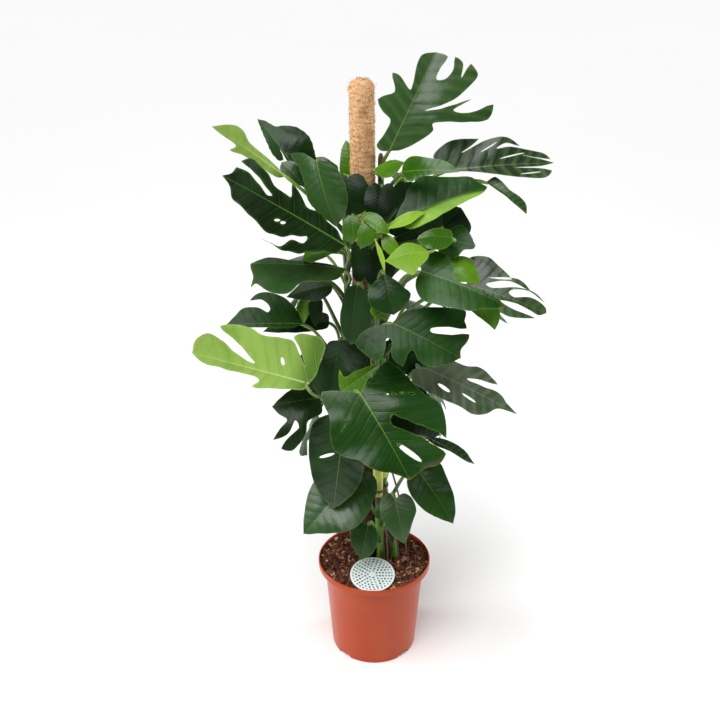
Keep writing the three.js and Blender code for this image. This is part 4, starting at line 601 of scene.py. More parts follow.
@dataclass(frozen=True)
class BladeFinish:
    """Living leaf: a waxy upper side with veins, and a paler, duller underside.

    The heart is the deeper base of the underside. Widths and reaches are in blade lengths, apart
    from the trough's, which is a share of the way between two veins.
    """

    deep: Colour
    light: Colour
    vein: Colour
    under: Colour
    # Colour of the painted light patches.
    glow: Colour = (136, 180, 60)
    dry: Colour = (122, 100, 62)
    vein_strength: float = 0.16
    # How much painted sheen lightens the blade between its veins.
    streak: float = 0.1
    rough: float = 0.4
    wax: float = 0.0
    shine: float = 0.2
    heart: float = 0.0
    heart_reach: float = 0.22
    vein_width: float = 0.045
    vein_taper: float = 0.09
    vein_least: float = 0.012
    vein_drift: float = 0.55
    fine_veins: float = 5.0
    trough_width: float = 0.24
    rib_width: float = 0.0095
    rib_taper: float = 0.0065
    drifts: float = 14.0
    patches: float = 8.0
    mottles: float = 7.0
    specks: float = 60.0
    cells: float = 260.0
    puckers: float = 24.0
    pucker_depth: float = 0.004
    vein_depth: float = 0.0009
    grain_depth: float = 0.0016
    dull_under: float = 0.16

    def material(self, name: str) -> bpy.types.Material:
        """Build the blade's material.

        Args:
            name: tells this finish from the others.

        Returns:
            The material.
        """
        s = Sketch(f"blade_{name}")
        out, forward = s.flat()
        reach = s.math("ABSOLUTE", out)
        drift = s.times(s.minus(s.noise(self.drifts, 2.0), 0.5), self.vein_drift)
        phase = s.plus(VEINS.nodes(s, reach, forward), drift)
        gap = s.math("PINGPONG", phase, 0.5)
        fine_gap = s.math("PINGPONG", s.times(phase, self.fine_veins), 0.5)
        width = s.math("MAXIMUM", s.minus(self.vein_width, s.times(reach, self.vein_taper)), self.vein_least)
        line = s.rest(s.ease(s.math("DIVIDE", gap, width), 0.2, 1.0))
        far = s.plus(reach, s.times(forward, 0.5))
        nearby = s.rest(s.times(s.ease(far, 0.1, 0.6), 0.6))
        patchy = s.plus(0.4, s.times(s.ease(s.noise(self.patches, 2.0), 0.35, 0.65), 0.6))
        side = s.times(line, s.times(nearby, patchy))
        trough = s.times(s.rest(s.ease(gap, 0.0, self.trough_width)), nearby)
        fine = s.rest(s.ease(fine_gap, 0.0, 0.45))
        rib_width = s.minus(self.rib_width, s.times(forward, self.rib_taper))
        rib = s.rest(s.ease(s.math("DIVIDE", reach, rib_width), 0.4, 1.0))
        mottle, speck, cells = s.noise(self.mottles, 4.0), s.noise(self.specks, 3.0), s.noise(self.cells, 2.0)
        tone = s.plus(s.times(mottle, 0.8), s.times(speck, 0.2))
        tone = s.plus(tone, s.times(s.minus(s.attribute("tint"), 0.5), 0.3))
        base = s.blend(s.ease(tone, 0.3, 0.7), self.deep, self.light)
        # Painted sheen, lighter between the veins.
        between = s.times(s.ease(gap, 0.12, 0.5), patchy)
        base = s.blend(s.times(between, self.streak), base, self.under)
        base = s.blend(s.times(fine, 0.1 * self.vein_strength), base, self.vein)
        base = s.blend(s.times(side, self.vein_strength), base, self.vein)
        # Painted light: lighter patches where light falls on the blade.
        base = s.blend(s.attribute("glow"), base, s.blend(s.times(side, 0.4), self.glow, self.vein))
        back = s.blend(s.ease(tone, 0.3, 0.66), self.under, self.light)
        back = s.blend(s.times(trough, 0.3), back, self.deep)
        heart = s.rest(s.ease(forward, 0.0, self.heart_reach))
        back = s.blend(s.times(heart, self.heart), back, self.deep)
        back = s.blend(s.times(side, 0.5), back, self.vein)
        base = s.blend(s.attribute("under"), base, back)
        rim = s.math("POWER", s.attribute("rim"), 2.5)
        base = s.blend(s.times(rim, 0.35), base, self.vein)
        rib = s.times(rib, s.rest(s.times(s.ease(forward, 0.1, 1.0), 0.5)))
        base = s.blend(s.times(rib, 0.5 + 0.5 * self.vein_strength), base, self.vein)
        dry = s.times(s.ease(forward, 0.9, 1.02), s.ease(speck, 0.42, 0.6))
        base = s.blend(s.times(dry, s.plus(0.25, s.times(rim, 0.5))), base, self.dry)
        rough = s.plus(self.rough - 0.08, s.times(s.ease(mottle, 0.3, 0.7), 0.14))
        rough = s.plus(rough, s.times(s.attribute("under"), self.dull_under))
        s.bump(s.noise(self.puckers, 2.0), self.pucker_depth, 0.55)
        s.bump(s.plus(s.times(trough, -0.5), s.times(fine, -0.06)), self.vein_depth, 0.45)
        s.bump(s.plus(speck, s.times(cells, 0.2)), self.grain_depth, 0.3)
        return s.finish(
            base, rough, Coat_Weight=self.wax, Coat_Roughness=0.2, Specular_IOR_Level=self.shine,
        )


BLADE_FINISHES: dict[Look, BladeFinish] = {
    Look.DEEP: BladeFinish(
        (7, 28, 4), (20, 54, 10), (52, 92, 34), (30, 60, 20), vein_strength=0.14, rough=0.42,
    ),
    Look.DARK: BladeFinish((6, 29, 2), (25, 69, 10), (100, 146, 52), (60, 96, 36), shine=0.25),
    Look.MID: BladeFinish(
        (10, 40, 3), (35, 80, 10), (104, 150, 58), (80, 120, 44), vein_strength=0.2, rough=0.38, wax=0.05,
        shine=0.28,
    ),
    Look.SHEEN: BladeFinish(
        (10, 38, 6), (37, 75, 21), (112, 150, 76), (80, 112, 58), vein_strength=0.24, rough=0.34, wax=0.2,
        shine=0.4,
    ),
    # Its strong streak is painted sheen between the veins.
    Look.GREY: BladeFinish(
        (12, 40, 8), (40, 76, 24), (112, 140, 80), (84, 112, 60), streak=0.5, rough=0.36, wax=0.1, shine=0.4,
    ),
    Look.PALE: BladeFinish(
        (62, 104, 22), (150, 186, 84), (204, 218, 146), (104, 144, 46), vein_strength=0.5, streak=0.35,
        heart=0.8,
    ),
    Look.BRIGHT: BladeFinish(
        (42, 88, 2), (92, 140, 10), (142, 184, 56), (110, 152, 36), rough=0.34, wax=0.15, shine=0.3,
    ),
    Look.LIME: BladeFinish((104, 150, 24), (146, 186, 56), (186, 214, 108), (150, 184, 74)),
    # Grey-white colours: painted sheen of a leaf that lies at a glancing angle.
    Look.ASH: BladeFinish(
        (48, 72, 42), (112, 126, 100), (152, 166, 134), (136, 150, 122), vein_strength=0.3, streak=0.45,
        rough=0.45,
    ),
    Look.RICH: BladeFinish(
        (4, 29, 2), (16, 60, 7), (116, 166, 52), (70, 110, 40), vein_strength=0.42, rough=0.34, shine=0.3,
    ),
}


@dataclass(frozen=True)
class StalkFinish:
    """Leaf stalks: smooth pale green, darker where it is shaded."""

    name: str = "stalk"
    pale: Colour = (126, 156, 66)
    dark: Colour = (44, 70, 24)
    streaks: float = 60.0
    stretch: Point = (1.0, 1.0, 0.25)
    depth: float = 0.0004
    rough: float = 0.34
    wax: float = 0.15

    def material(self) -> bpy.types.Material:
        """Build the stalk's material."""
        s = Sketch(self.name)
        _, along = s.flat()
        streak = s.noise(self.streaks, 3.0, s.stretch(self.stretch))
        tone = s.plus(s.times(along, 0.55), s.times(streak, 0.5))
        base = s.blend(s.ease(tone, 0.25, 0.95), self.dark, self.pale)
        s.bump(streak, self.depth, 0.4)
        return s.finish(base, s.plus(self.rough, s.times(streak, 0.12)), Coat_Weight=self.wax)


@dataclass(frozen=True)
class StemFinish:
    """Climbing stems: green skin with brown, papery sheaths between the rings."""

    name: str = "stem"
    green: Colour = (82, 136, 26)
    brown: Colour = (58, 38, 20)
    straw: Colour = (160, 156, 76)
    patches: float = 22.0
    patch_stretch: Point = (1.0, 1.0, 0.35)
    grains: float = 240.0
    grain_stretch: Point = (1.0, 1.0, 0.12)
    ring: Flat = (0.02, 0.07)
    depth: float = 0.0006
    rough: float = 0.5

    def material(self) -> bpy.types.Material:
        """Build the stem's material."""
        s = Sketch(self.name)
        _, along = s.flat()
        patch = s.noise(self.patches, 4.0, s.stretch(self.patch_stretch))
        grain = s.noise(self.grains, 3.0, s.stretch(self.grain_stretch))
        base = s.blend(s.ease(patch, 0.47, 0.6), self.green, self.brown)
        base = s.blend(s.times(s.ease(grain, 0.5, 0.8), 0.4), base, self.straw)
        ring = s.rest(s.ease(s.math("PINGPONG", along, 0.5), *self.ring))
        base = s.blend(s.times(ring, 0.16), base, self.straw)
        s.bump(grain, self.depth, 0.6)
        return s.finish(base, s.plus(self.rough, s.times(grain, 0.25)))


@dataclass(frozen=True)
class CoirFinish:
    """Coir: coarse tan fibre, with painted shade in the gaps between the windings and low on the pole."""

    name: str = "coir"
    light: Colour = (252, 210, 160)
    deep: Colour = (204, 142, 90)
    # Colour of the painted shade in the grooves between the windings.
    gap: Colour = (152, 92, 54)
    # Colour of the painted shade low on the pole.
    shade_colour: Colour = (42, 30, 18)
    tone: bool = False
    lumps: float = 95.0
    strands: float = 420.0
    strand_stretch: Point = (0.6, 0.6, 2.4)
    stains: float = 30.0
    depth: float = 0.003
    rough: float = 0.92
    shine: float = 0.2

    def material(self) -> bpy.types.Material:
        """Build the coir's material."""
        s = Sketch(self.name)
        lump = s.noise(self.lumps, 4.0)
        strand = s.noise(self.strands, 4.0, s.stretch(self.strand_stretch))
        share = s.attribute("tone") if self.tone else s.ease(strand, 0.3, 0.62)
        base = s.blend(share, self.deep, self.light)
        if not self.tone:
            # Painted shade in the grooves between the windings.
            base = s.blend(s.attribute("groove"), base, self.gap)
            base = s.blend(s.times(s.ease(lump, 0.55, 0.75), 0.6), base, self.deep)
            stain = s.ease(s.noise(self.stains, 3.0), 0.5, 0.75)
            base = s.blend(s.times(stain, 0.5), base, self.gap)
        # Painted shade, darker towards the base of the pole.
        base = s.blend(s.attribute("damp"), base, self.shade_colour)
        s.bump(s.plus(lump, s.times(strand, 0.8)), self.depth, 0.9)
        return s.finish(base, self.rough, Specular_IOR_Level=self.shine)


@dataclass(frozen=True)
class PlasticFinish:
    """Moulded terracotta plastic with a soft satin skin."""

    name: str = "terracotta_plastic"
    body: Colour = (170, 57, 6)
    worn: Colour = (175, 67, 19)
    clouds: float = 9.0
    grains: float = 900.0
    flows: float = 30.0
    flow_stretch: Point = (1.0, 1.0, 0.15)
    depth: float = 0.0002
    rough: float = 0.28
    shine: float = 0.35

    def material(self) -> bpy.types.Material:
        """Build the plastic's material."""
        s = Sketch(self.name)
        cloud = s.noise(self.clouds, 3.0)
        grain = s.noise(self.grains, 2.0)
        flow = s.noise(self.flows, 3.0, s.stretch(self.flow_stretch))
        base = s.blend(s.ease(cloud, 0.35, 0.75), self.body, self.worn)
        base = s.blend(s.times(s.ease(flow, 0.5, 0.8), 0.12), base, self.worn)
        s.bump(grain, self.depth, 0.3)
        return s.finish(base, s.plus(self.rough, s.times(flow, 0.1)), Specular_IOR_Level=self.shine)


@dataclass(frozen=True)
class BarkFinish:
    """Bark mix: dark crumbs, or loose chips whose tone is stored on the mesh."""

    name: str
    dark: Colour = (24, 12, 8)
    warm: Colour = (134, 82, 62)
    straw: Colour = (222, 176, 134)
    chips: bool = False
    crumbs: float = 260.0
    depth: float = 0.0016
    rough: float = 0.88
    shine: float = 0.25

    def material(self) -> bpy.types.Material:
        """Build the bark's material."""
        s = Sketch(self.name)
        crumb = s.noise(self.crumbs, 4.0)
        base = s.blend(s.ease(crumb, 0.36, 0.82), self.dark, self.warm)
        if self.chips:
            tone = s.attribute("tone")
            base = s.blend(s.ease(tone, 0.1, 0.9), base, self.warm)
            base = s.blend(s.ease(tone, 0.86, 0.99), base, self.straw)
        s.bump(crumb, self.depth, 0.8)
        return s.finish(base, self.rough, Specular_IOR_Level=self.shine)


@dataclass(frozen=True)
class CardFinish:
    """White label card with rings of small teal, mint and slate dots."""

    name: str = "label_card"
    white: Colour = (255, 255, 255)
    teal: Colour = (20, 112, 112)
    mint: Colour = (104, 204, 184)
    slate: Colour = (44, 70, 84)
    rings: float = 7.4
    first_ring: float = 2.0
    ring_gain: float = 5.0
    squeeze: float = 1.35
    dot: float = 0.42
    middle: float = 0.15
    border: float = 0.9
    patches: float = 70.0
    grains: float = 700.0
    depth: float = 0.0001
    rough: float = 0.35

    def material(self) -> bpy.types.Material:
        """Build the card's material."""
        s = Sketch(self.name)
        x, y = s.flat()
        radius = s.math("SQRT", s.plus(s.times(x, x), s.times(y, y)))
        turn = s.math("DIVIDE", s.math("ARCTAN2", y, x), math.tau)
        rows = s.times(radius, self.rings)
        row = s.math("FLOOR", rows)
        count = s.plus(s.times(row, self.ring_gain), self.first_ring)
        across = s.minus(s.math("FRACT", s.times(turn, count)), 0.5)
        along = s.minus(s.math("FRACT", rows), 0.5)
        across = s.times(across, self.squeeze)
        square = s.plus(s.times(across, across), s.times(along, along))
        dots = s.rest(s.ease(s.math("SQRT", square), 0.3, self.dot))
        outside = s.rest(s.ease(radius, self.border, self.border + 0.01))
        band = s.times(s.ease(radius, self.middle, self.middle + 0.01), outside)
        share = s.noise(self.patches, 1.0)
        tint = s.blend(s.ease(share, 0.46, 0.5), self.teal, self.mint)
        tint = s.blend(s.ease(share, 0.58, 0.62), tint, self.slate)
        base = s.blend(s.times(dots, band), self.white, tint)
        s.bump(s.noise(self.grains, 2.0), self.depth, 0.2)
        return s.finish(base, s.plus(self.rough, s.times(s.noise(40.0), 0.1)))


@dataclass(frozen=True)
class BandFinish:
    """Dark soft band that ties the stems to the pole."""

    name: str = "tie_band"
    dark: Colour = (52, 40, 26)
    light: Colour = (92, 74, 50)
    weaves: float = 500.0
    stretch: Point = (1.0, 1.0, 3.0)
    depth: float = 0.0005
    rough: float = 0.6

    def material(self) -> bpy.types.Material:
        """Build the band's material."""
        s = Sketch(self.name)
        weave = s.noise(self.weaves, 2.0, s.stretch(self.stretch))
        base = s.blend(weave, self.dark, self.light)
        s.bump(weave, self.depth, 0.6)
        return s.finish(base, s.plus(self.rough, s.times(weave, 0.2)))


@dataclass(frozen=True)
class FloorFinish:
    """Plain pale studio floor."""

    name: str = "pale_floor"
    pale: Colour = (250, 250, 250)
    shade: Colour = (246, 246, 246)
    clouds: float = 0.8
    rough: float = 0.7
    shine: float = 0.2

    def material(self) -> bpy.types.Material:
        """Build the floor's material."""
        s = Sketch(self.name)
        base = s.blend(s.noise(self.clouds, 2.0), self.pale, self.shade)
        return s.finish(base, self.rough, Specular_IOR_Level=self.shine)


@dataclass
class Body:
    """Gathers closed shells into one mesh, with a flat map, stored values and materials."""

    name: str
    points: list[np.ndarray] = field(default_factory=list)
    faces: Faces = field(default_factory=list)
    flats: list[np.ndarray] = field(default_factory=list)
    values: dict[str, list[np.ndarray]] = field(default_factory=dict)
    slots: list[int] = field(default_factory=list)
    sharp: set[tuple[int, int]] = field(default_factory=set)
    total: int = 0

    def add(
        self,
        points: np.ndarray,
        faces: Iterable[Sequence[int]],
        flats: np.ndarray | None = None,
        slot: int = 0,
        sharp: Iterable[tuple[int, int]] = (),
        **values: np.ndarray,
    ) -> None:
        """Add a shell.

        Args:
            points: its points, in millimetres.
            faces: its faces, as indices into points.
            flats: two numbers for each point, for the flat map.
            slot: which of the body's materials it takes.
            sharp: edges that stay sharp.
            values: one stored number for each point, by name.
        """
        start, count = self.total, len(points)
        self.points.append(np.asarray(points, float))
        self.flats.append(np.zeros((count, 2)) if flats is None else np.asarray(flats, float))
        rows = [tuple(start + i for i in face) for face in faces]
        self.faces += rows
        self.slots += [slot] * len(rows)
        self.sharp |= {(min(p, q) + start, max(p, q) + start) for p, q in sharp}
        for name in {*self.values, *values}:
            store = self.values.setdefault(name, [np.zeros(start)] if start else [])
            store.append(np.asarray(values.get(name, np.zeros(count)), float))
        self.total += count

    def make(self, materials: Sequence[bpy.types.Material]) -> bpy.types.Object:
        """Turn the shells into one object at the origin.

        Args:
            materials: the object's materials, in slot order.

        Returns:
            The object, linked to the scene.
        """
        mesh = bpy.data.meshes.new(self.name)
        mesh.from_pydata((np.vstack(self.points) * MM).tolist(), [], self.faces)
        for material in materials:
            mesh.materials.append(material)
        mesh.polygons.foreach_set("material_index", self.slots)
        mesh.shade_smooth()
        loops = np.zeros(len(mesh.loops), dtype=np.int32)
        mesh.loops.foreach_get("vertex_index", loops)
        flats = mesh.uv_layers.new(name="flat")
        flats.data.foreach_set("uv", np.vstack(self.flats)[loops].ravel())
        for name, parts in self.values.items():
            store = mesh.attributes.new(name, "FLOAT", "POINT")
            store.data.foreach_set("value", np.concatenate(parts))
        if self.sharp:
            marks = mesh.attributes.new("sharp_edge", "BOOLEAN", "EDGE")
            marks.data.foreach_set("value", [tuple(sorted(e.vertices)) in self.sharp for e in mesh.edges])
        return show(self.name, mesh)


def place_piece(item: bpy.types.Object, slot: str, *nodes: str) -> None:
    """Fix a finished piece to the frame, and report it.

    Args:
        item: the piece.
        slot: the record's material slot, not used.
        nodes: the nodes that it stands for.
    """
    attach(item, "root")
    if nodes:
        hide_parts(*nodes)
    LOG.info("piece %s: %d faces", item.name, len(item.data.polygons))


def tube(
    points: np.ndarray, radii: np.ndarray, sides: int, ripple: np.ndarray | None = None
) -> tuple[np.ndarray, Faces, np.ndarray]:
    """A closed round bar along points.

    Args:
        points: the middle line, an array of 3-D points.
        radii: the radius at each point.
        sides: how many points go round.
        ripple: shares added to the radius, one for each point round each ring.

    Returns:
        Points, faces, and each point's turn and share along.
    """
    along = np.gradient(points, axis=0)
    along /= np.linalg.norm(along, axis=1)[:, None]
    steep = abs(along[0][2]) >= 0.9
    across = np.cross(along[0], (1.0, 0.0, 0.0) if steep else (0.0, 0.0, 1.0))
    turns = bearings(sides)
    rings, flats = [], []
    for i, (middle, way) in enumerate(zip(points, along)):
        across = across - way * float(across @ way)
        across /= np.linalg.norm(across)
        up = np.cross(way, across)
        size = radii[i] * (1 + (ripple[i] if ripple is not None else np.zeros(sides)))
        rings.append(middle + np.outer(size * np.cos(turns), across) + np.outer(size * np.sin(turns), up))
        flats.append(np.column_stack([turns / math.tau, np.full(sides, i / (len(points) - 1))]))
    count = len(points)
    shell = np.vstack([*rings, points[:1], points[-1:]])
    flat = np.vstack([*flats, [[0.5, 0.0]], [[0.5, 1.0]]])
    faces: Faces = []
    for i in range(count - 1):
        for j in range(sides):
            p, q = i * sides + j, i * sides + (j + 1) % sides
            faces.append((p, q, q + sides, p + sides))
    low, high, last = count * sides, count * sides + 1, (count - 1) * sides
    for j in range(sides):
        k = (j + 1) % sides
        faces += [(k, j, low), (last + j, last + k, high)]
    return shell, faces, flat


def turned(profile: Sequence[Flat], sides: int) -> tuple[np.ndarray, Faces]:
    """A closed body turned about the vertical.

    Args:
        profile: radius and height from the bottom of the axis round to the top of it.
        sides: how many points go round.

    Returns:
        Points and faces.
    """
    inner = profile[1:-1]
    turns = bearings(sides)
    rings = [np.column_stack([r * np.cos(turns), r * np.sin(turns), np.full(sides, z)]) for r, z in inner]
    ends = np.array([[0, 0, profile[0][1]], [0, 0, profile[-1][1]]], float)
    points = np.vstack([*rings, ends])
    low, high, last = len(inner) * sides, len(inner) * sides + 1, (len(inner) - 1) * sides
    faces: Faces = []
    for j in range(sides):
        k = (j + 1) % sides
        faces += [(k, j, low), (last + j, last + k, high)]
        for i in range(len(inner) - 1):
            faces.append((i * sides + j, i * sides + k, (i + 1) * sides + k, (i + 1) * sides + j))
    return points, faces


def rounded(profile: Sequence[Flat], radius: float, steps: int = 3) -> list[Flat]:
    """Round a profile's corners, apart from its two ends.

    Args:
        profile: the corners.
        radius: how far each rounding reaches along its two sides, at most.
        steps: how many pieces each rounding has.

    Returns:
        The rounded profile.
    """
    made: list[Flat] = [profile[0]]
    for before, corner, after in zip(profile, profile[1:], profile[2:]):
        c, p, q = (np.array(v, float) for v in (corner, before, after))
        before_long, after_long = np.linalg.norm(p - c), np.linalg.norm(q - c)
        reach = min(radius, before_long * MOST_ROUND, after_long * MOST_ROUND)
        start, end = c + (p - c) / before_long * reach, c + (q - c) / after_long * reach
        for i in range(steps + 1):
            t = i / steps
            made.append(tuple((1 - t) ** 2 * start + 2 * t * (1 - t) * c + t * t * end))
    return [*made, profile[-1]]


@dataclass
class Pole:
    """Coir pole: a sleeve of wound fibre with a domed top, over a hidden rod.

    Lumps and grain are noises: how fast they change round the pole, the height of one, and how far
    they swell.
    """

    radius: float = 25.5
    top: float = 1443.0
    base: float = 60.0
    foot: Flat = (-15.0, 15.0)
    head: Flat = (-32.0, 15.0)
    soil: float = 240.0
    dome: float = 22.0
    dome_rows: int = 9
    dome_close: float = 0.96
    dome_round: float = 0.8
    winding: float = 11.0
    swell: float = 0.9
    puff: float = 0.5
    lumps: Point = (1.2, 26.0, 1.1)
    grain: Point = (3.4, 8.0, 0.7)
    stray: float = 0.55
    groove: float = 0.34
    groove_patch: Flat = (0.9, 0.55)
    cord_round: float = 0.6
    step: float = 1.8
    sides: int = 72
    # The coir darkens from the given height down to the base: painted shade of the leaves above.
    shade_top: float = 1170.0
    shade_fade: float = 330.0
    darkest_shade: float = 0.94
    fibres: int = 7200
    fibre_length: float = 8.0
    fibre_thickness: float = 0.3
    fibre_scale: Flat = (0.55, 1.3)
    fibre_tilt: float = 0.36

    def axis(self, height: np.ndarray | float) -> np.ndarray:
        """Middle of the pole at a height or heights."""
        z = np.asarray(height, float)
        share = (z - self.soil) / (self.top - self.soil)
        x = self.foot[0] + (self.head[0] - self.foot[0]) * share
        y = self.foot[1] + (self.head[1] - self.foot[1]) * share
        return np.stack([x, y, z], axis=-1)

    def sleeve(self) -> bpy.types.Object:
        """Build the sleeve with its windings."""
        heights = np.arange(self.base, self.top - self.dome, self.step)
        domed = np.linspace(0.0, math.pi / 2 * self.dome_close, self.dome_rows)
        heights = np.concatenate([heights, self.top - self.dome + self.dome * np.sin(domed)])
        shares = np.ones(len(heights))
        shares[-len(domed):] = np.cos(domed) ** self.dome_round
        middles = self.axis(heights)
        turns = np.arange(self.sides) / self.sides
        around = np.column_stack([np.cos(turns * math.tau), np.sin(turns * math.tau)])
        ripple, grooves = np.empty((len(heights), self.sides)), np.empty((len(heights), self.sides))
        for i, z in enumerate(heights):
            wide, small = (
                wobble(np.column_stack([around * rate, np.full(self.sides, z / tall)]), 1.0, seed)
                for (rate, tall, _), seed in ((self.lumps, 2.0), (self.grain, 5.0))
            )
            cord = np.abs(np.sin(math.pi * (z / self.winding + turns + wide * self.stray)))
            wound = self.swell * (cord ** self.cord_round - 0.5)
            bulge = wound + wide * self.lumps[2] + small * self.grain[2]
            ripple[i] = (bulge + self.puff) / self.radius
            # Where the windings part, which the finish darkens as painted shade.
            patchy = smooth(small * self.groove_patch[0] + self.groove_patch[1])
            grooves[i] = smooth((self.groove - cord) / self.groove) * patchy
        body = Body("coir_sleeve_wound")
        shell, faces, flat = tube(middles, self.radius * shares, self.sides, ripple)
        # Painted shade: the coir darkens towards the base, under the leaves.
        damp = self.darkest_shade * smooth((self.shade_top - shell[:, 2]) / self.shade_fade)
        body.add(shell, faces, flat, groove=np.concatenate([grooves.ravel(), np.zeros(2)]), damp=damp)
        return body.make([CoirFinish().material()])

    def build(self) -> None:
        """Build and place the sleeve and its loose fibres."""
        sleeve = self.sleeve()
        fibres = Scatter(
            "coir_fibres", Strew.FIBRE, self.fibres, (self.fibre_length, self.fibre_thickness, 0.0),
            *self.fibre_scale, self.fibre_tilt, CoirFinish("coir_fibre", tone=True).material(),
        ).over(sleeve, 11)
        place_piece(sleeve, "coir", "coir_sleeve")
        place_piece(fibres, "coir")


class Strew(Enum):
    """What a scatter lays over a surface."""

    FIBRE = "fibre"
    CHIP = "chip"


@dataclass
class Scatter:
    """Lays many small copies over a surface with geometry nodes."""

    name: str
    kind: Strew
    count: int
    size: Point
    small: float
    large: float
    tilt: float
    material: bpy.types.Material
    ragged: float = 190.0
    arc_points: int = 5
    sweep: float = 1.5
    inset: float = 0.95
    turn_seed: float = 7.0

    def tree(self) -> tuple[bpy.types.NodeTree, dict[str, str]]:
        """Build the node tree.

        Returns:
            The tree, and the identifiers of its named inputs.
        """
        graph = Graph(bpy.data.node_groups.new(self.name, "GeometryNodeTree"))
        face = graph.tree.interface
        face.new_socket("Geometry", in_out="INPUT", socket_type="NodeSocketGeometry")
        face.new_socket("Geometry", in_out="OUTPUT", socket_type="NodeSocketGeometry")
        sizes = ("Density", "Length", "Width", "Thickness", "Smallest", "Largest", "Tilt")
        kinds = {**dict.fromkeys(sizes, "NodeSocketFloat"), "Seed": "NodeSocketInt"}
        ids = {
            label: face.new_socket(label, in_out="INPUT", socket_type=kind).identifier
            for label, kind in kinds.items()
        }
        given = graph.add("NodeGroupInput").outputs
        seed = given["Seed"]
        cover = graph.add("GeometryNodeInputNamedAttribute", {"Name": "cover"}, data_type="FLOAT")
        amount = graph.times(given["Density"], graph.result(cover))
        spread = graph.add(
            "GeometryNodeDistributePointsOnFaces",
            {"Mesh": given["Geometry"], "Density": amount, "Seed": seed}, distribute_method="RANDOM",
        ).outputs
        scale = self.random(graph, "FLOAT_VECTOR", Min=given["Smallest"], Max=given["Largest"], Seed=seed)
        copies = graph.add("GeometryNodeInstanceOnPoints", {
            "Points": spread["Points"], "Rotation": spread["Rotation"],
            "Instance": self.shape(graph, given), "Scale": scale,
        })
        ends = {
            label: graph.add("ShaderNodeCombineXYZ", {0: tilt, 1: tilt, 2: turn}).outputs[0]
            for label, tilt, turn in (
                ("Min", graph.times(given["Tilt"], -1.0), -math.pi), ("Max", given["Tilt"], math.pi),
            )
        }
        turn = self.random(graph, "FLOAT_VECTOR", Seed=graph.plus(seed, self.turn_seed), **ends)
        turned_copies = graph.add(
            "GeometryNodeRotateInstances", {"Instances": copies.outputs[0], "Rotation": turn}
        )
        toned = graph.add("GeometryNodeStoreNamedAttribute", {
            "Geometry": turned_copies.outputs[0], "Name": "tone",
            "Value": self.random(graph, "FLOAT", Seed=seed),
        }, data_type="FLOAT", domain="INSTANCE")
        real = graph.add("GeometryNodeRealizeInstances", {0: toned.outputs[0]})
        paint = graph.add("GeometryNodeSetMaterial", {"Geometry": real.outputs[0], "Material": self.material})
        graph.add("NodeGroupOutput", {0: paint.outputs[0]})
        return graph.tree, ids

    def random(self, graph: Graph, kind: str, **given: object) -> Socket:
        """A random value for each copy, of a kind and between ends."""
        return graph.result(graph.add("FunctionNodeRandomValue", given, data_type=kind))

    def shape(self, graph: Graph, given: object) -> Socket:
        """Add the nodes of one copy: an arched fibre or a flat chip.

        Args:
            graph: takes the nodes.
            given: the tree's inputs.

        Returns:
            The copy's geometry.
        """
        if self.kind is Strew.CHIP:
            size = graph.add("ShaderNodeCombineXYZ", {
                0: given["Length"], 1: given["Width"], 2: given["Thickness"],
            })
            cube = graph.add("GeometryNodeMeshCube", {"Size": size.outputs[0], "Vertices X": 3})
            ragged = graph.add("ShaderNodeTexNoise", {"Scale": self.ragged})
            centred = {0: ragged.outputs["Color"], 1: (0.5, 0.5, 0.5)}
            centred = graph.add("ShaderNodeVectorMath", centred, operation="SUBTRACT")
            shift = {0: centred.outputs[0], "Scale": given["Width"]}
            shift = graph.add("ShaderNodeVectorMath", shift, operation="SCALE")
            warped = {"Geometry": cube.outputs["Mesh"], "Offset": shift.outputs[0]}
            return graph.add("GeometryNodeSetPosition", warped).outputs[0]
        arc = graph.add("GeometryNodeCurveArc", {
            "Resolution": self.arc_points, "Sweep Angle": self.sweep, "Radius": given["Length"],
        })
        ring = graph.add("GeometryNodeCurvePrimitiveCircle", {"Resolution": 3, "Radius": given["Width"]})
        skin = graph.add("GeometryNodeCurveToMesh", {
            "Fill Caps": True, "Curve": arc.outputs["Curve"], "Profile Curve": ring.outputs["Curve"],
        })
        back = graph.add("ShaderNodeCombineXYZ", {0: graph.times(given["Length"], -self.inset)})
        moved = {"Translation": back.outputs[0], "Geometry": skin.outputs[0]}
        return graph.add("GeometryNodeTransform", moved).outputs[0]

    def over(self, base: bpy.types.Object, seed: int) -> bpy.types.Object:
        """Lay the copies over a piece.

        Args:
            base: the piece, whose mesh may store how well each point is covered.
            seed: fixes the random draw.

        Returns:
            The copies as one plain mesh object.
        """
        work = show(self.name, base.data.copy())
        if "cover" not in work.data.attributes:
            store = work.data.attributes.new("cover", "FLOAT", "POINT")
            store.data.foreach_set("value", np.ones(len(work.data.vertices)))
        covers = np.zeros(len(work.data.vertices))
        work.data.attributes["cover"].data.foreach_get("value", covers)
        area = sum(p.area * float(np.mean([covers[i] for i in p.vertices])) for p in work.data.polygons)
        tree, ids = self.tree()
        modifier = work.modifiers.new(self.name, "NODES")
        modifier.node_group = tree
        values = {
            "Density": self.count / area, "Length": self.size[0] * MM, "Width": self.size[1] * MM,
            "Thickness": self.size[2] * MM, "Smallest": self.small, "Largest": self.large,
            "Tilt": self.tilt,
        }
        for label, value in values.items():
            modifier[ids[label]] = float(value)
        modifier[ids["Seed"]] = seed
        graph = bpy.context.evaluated_depsgraph_get()
        mesh = bpy.data.meshes.new_from_object(
            work.evaluated_get(graph), preserve_all_data_layers=True, depsgraph=graph
        )
        bpy.data.objects.remove(work)
        mesh.name = self.name
        return show(self.name, mesh)


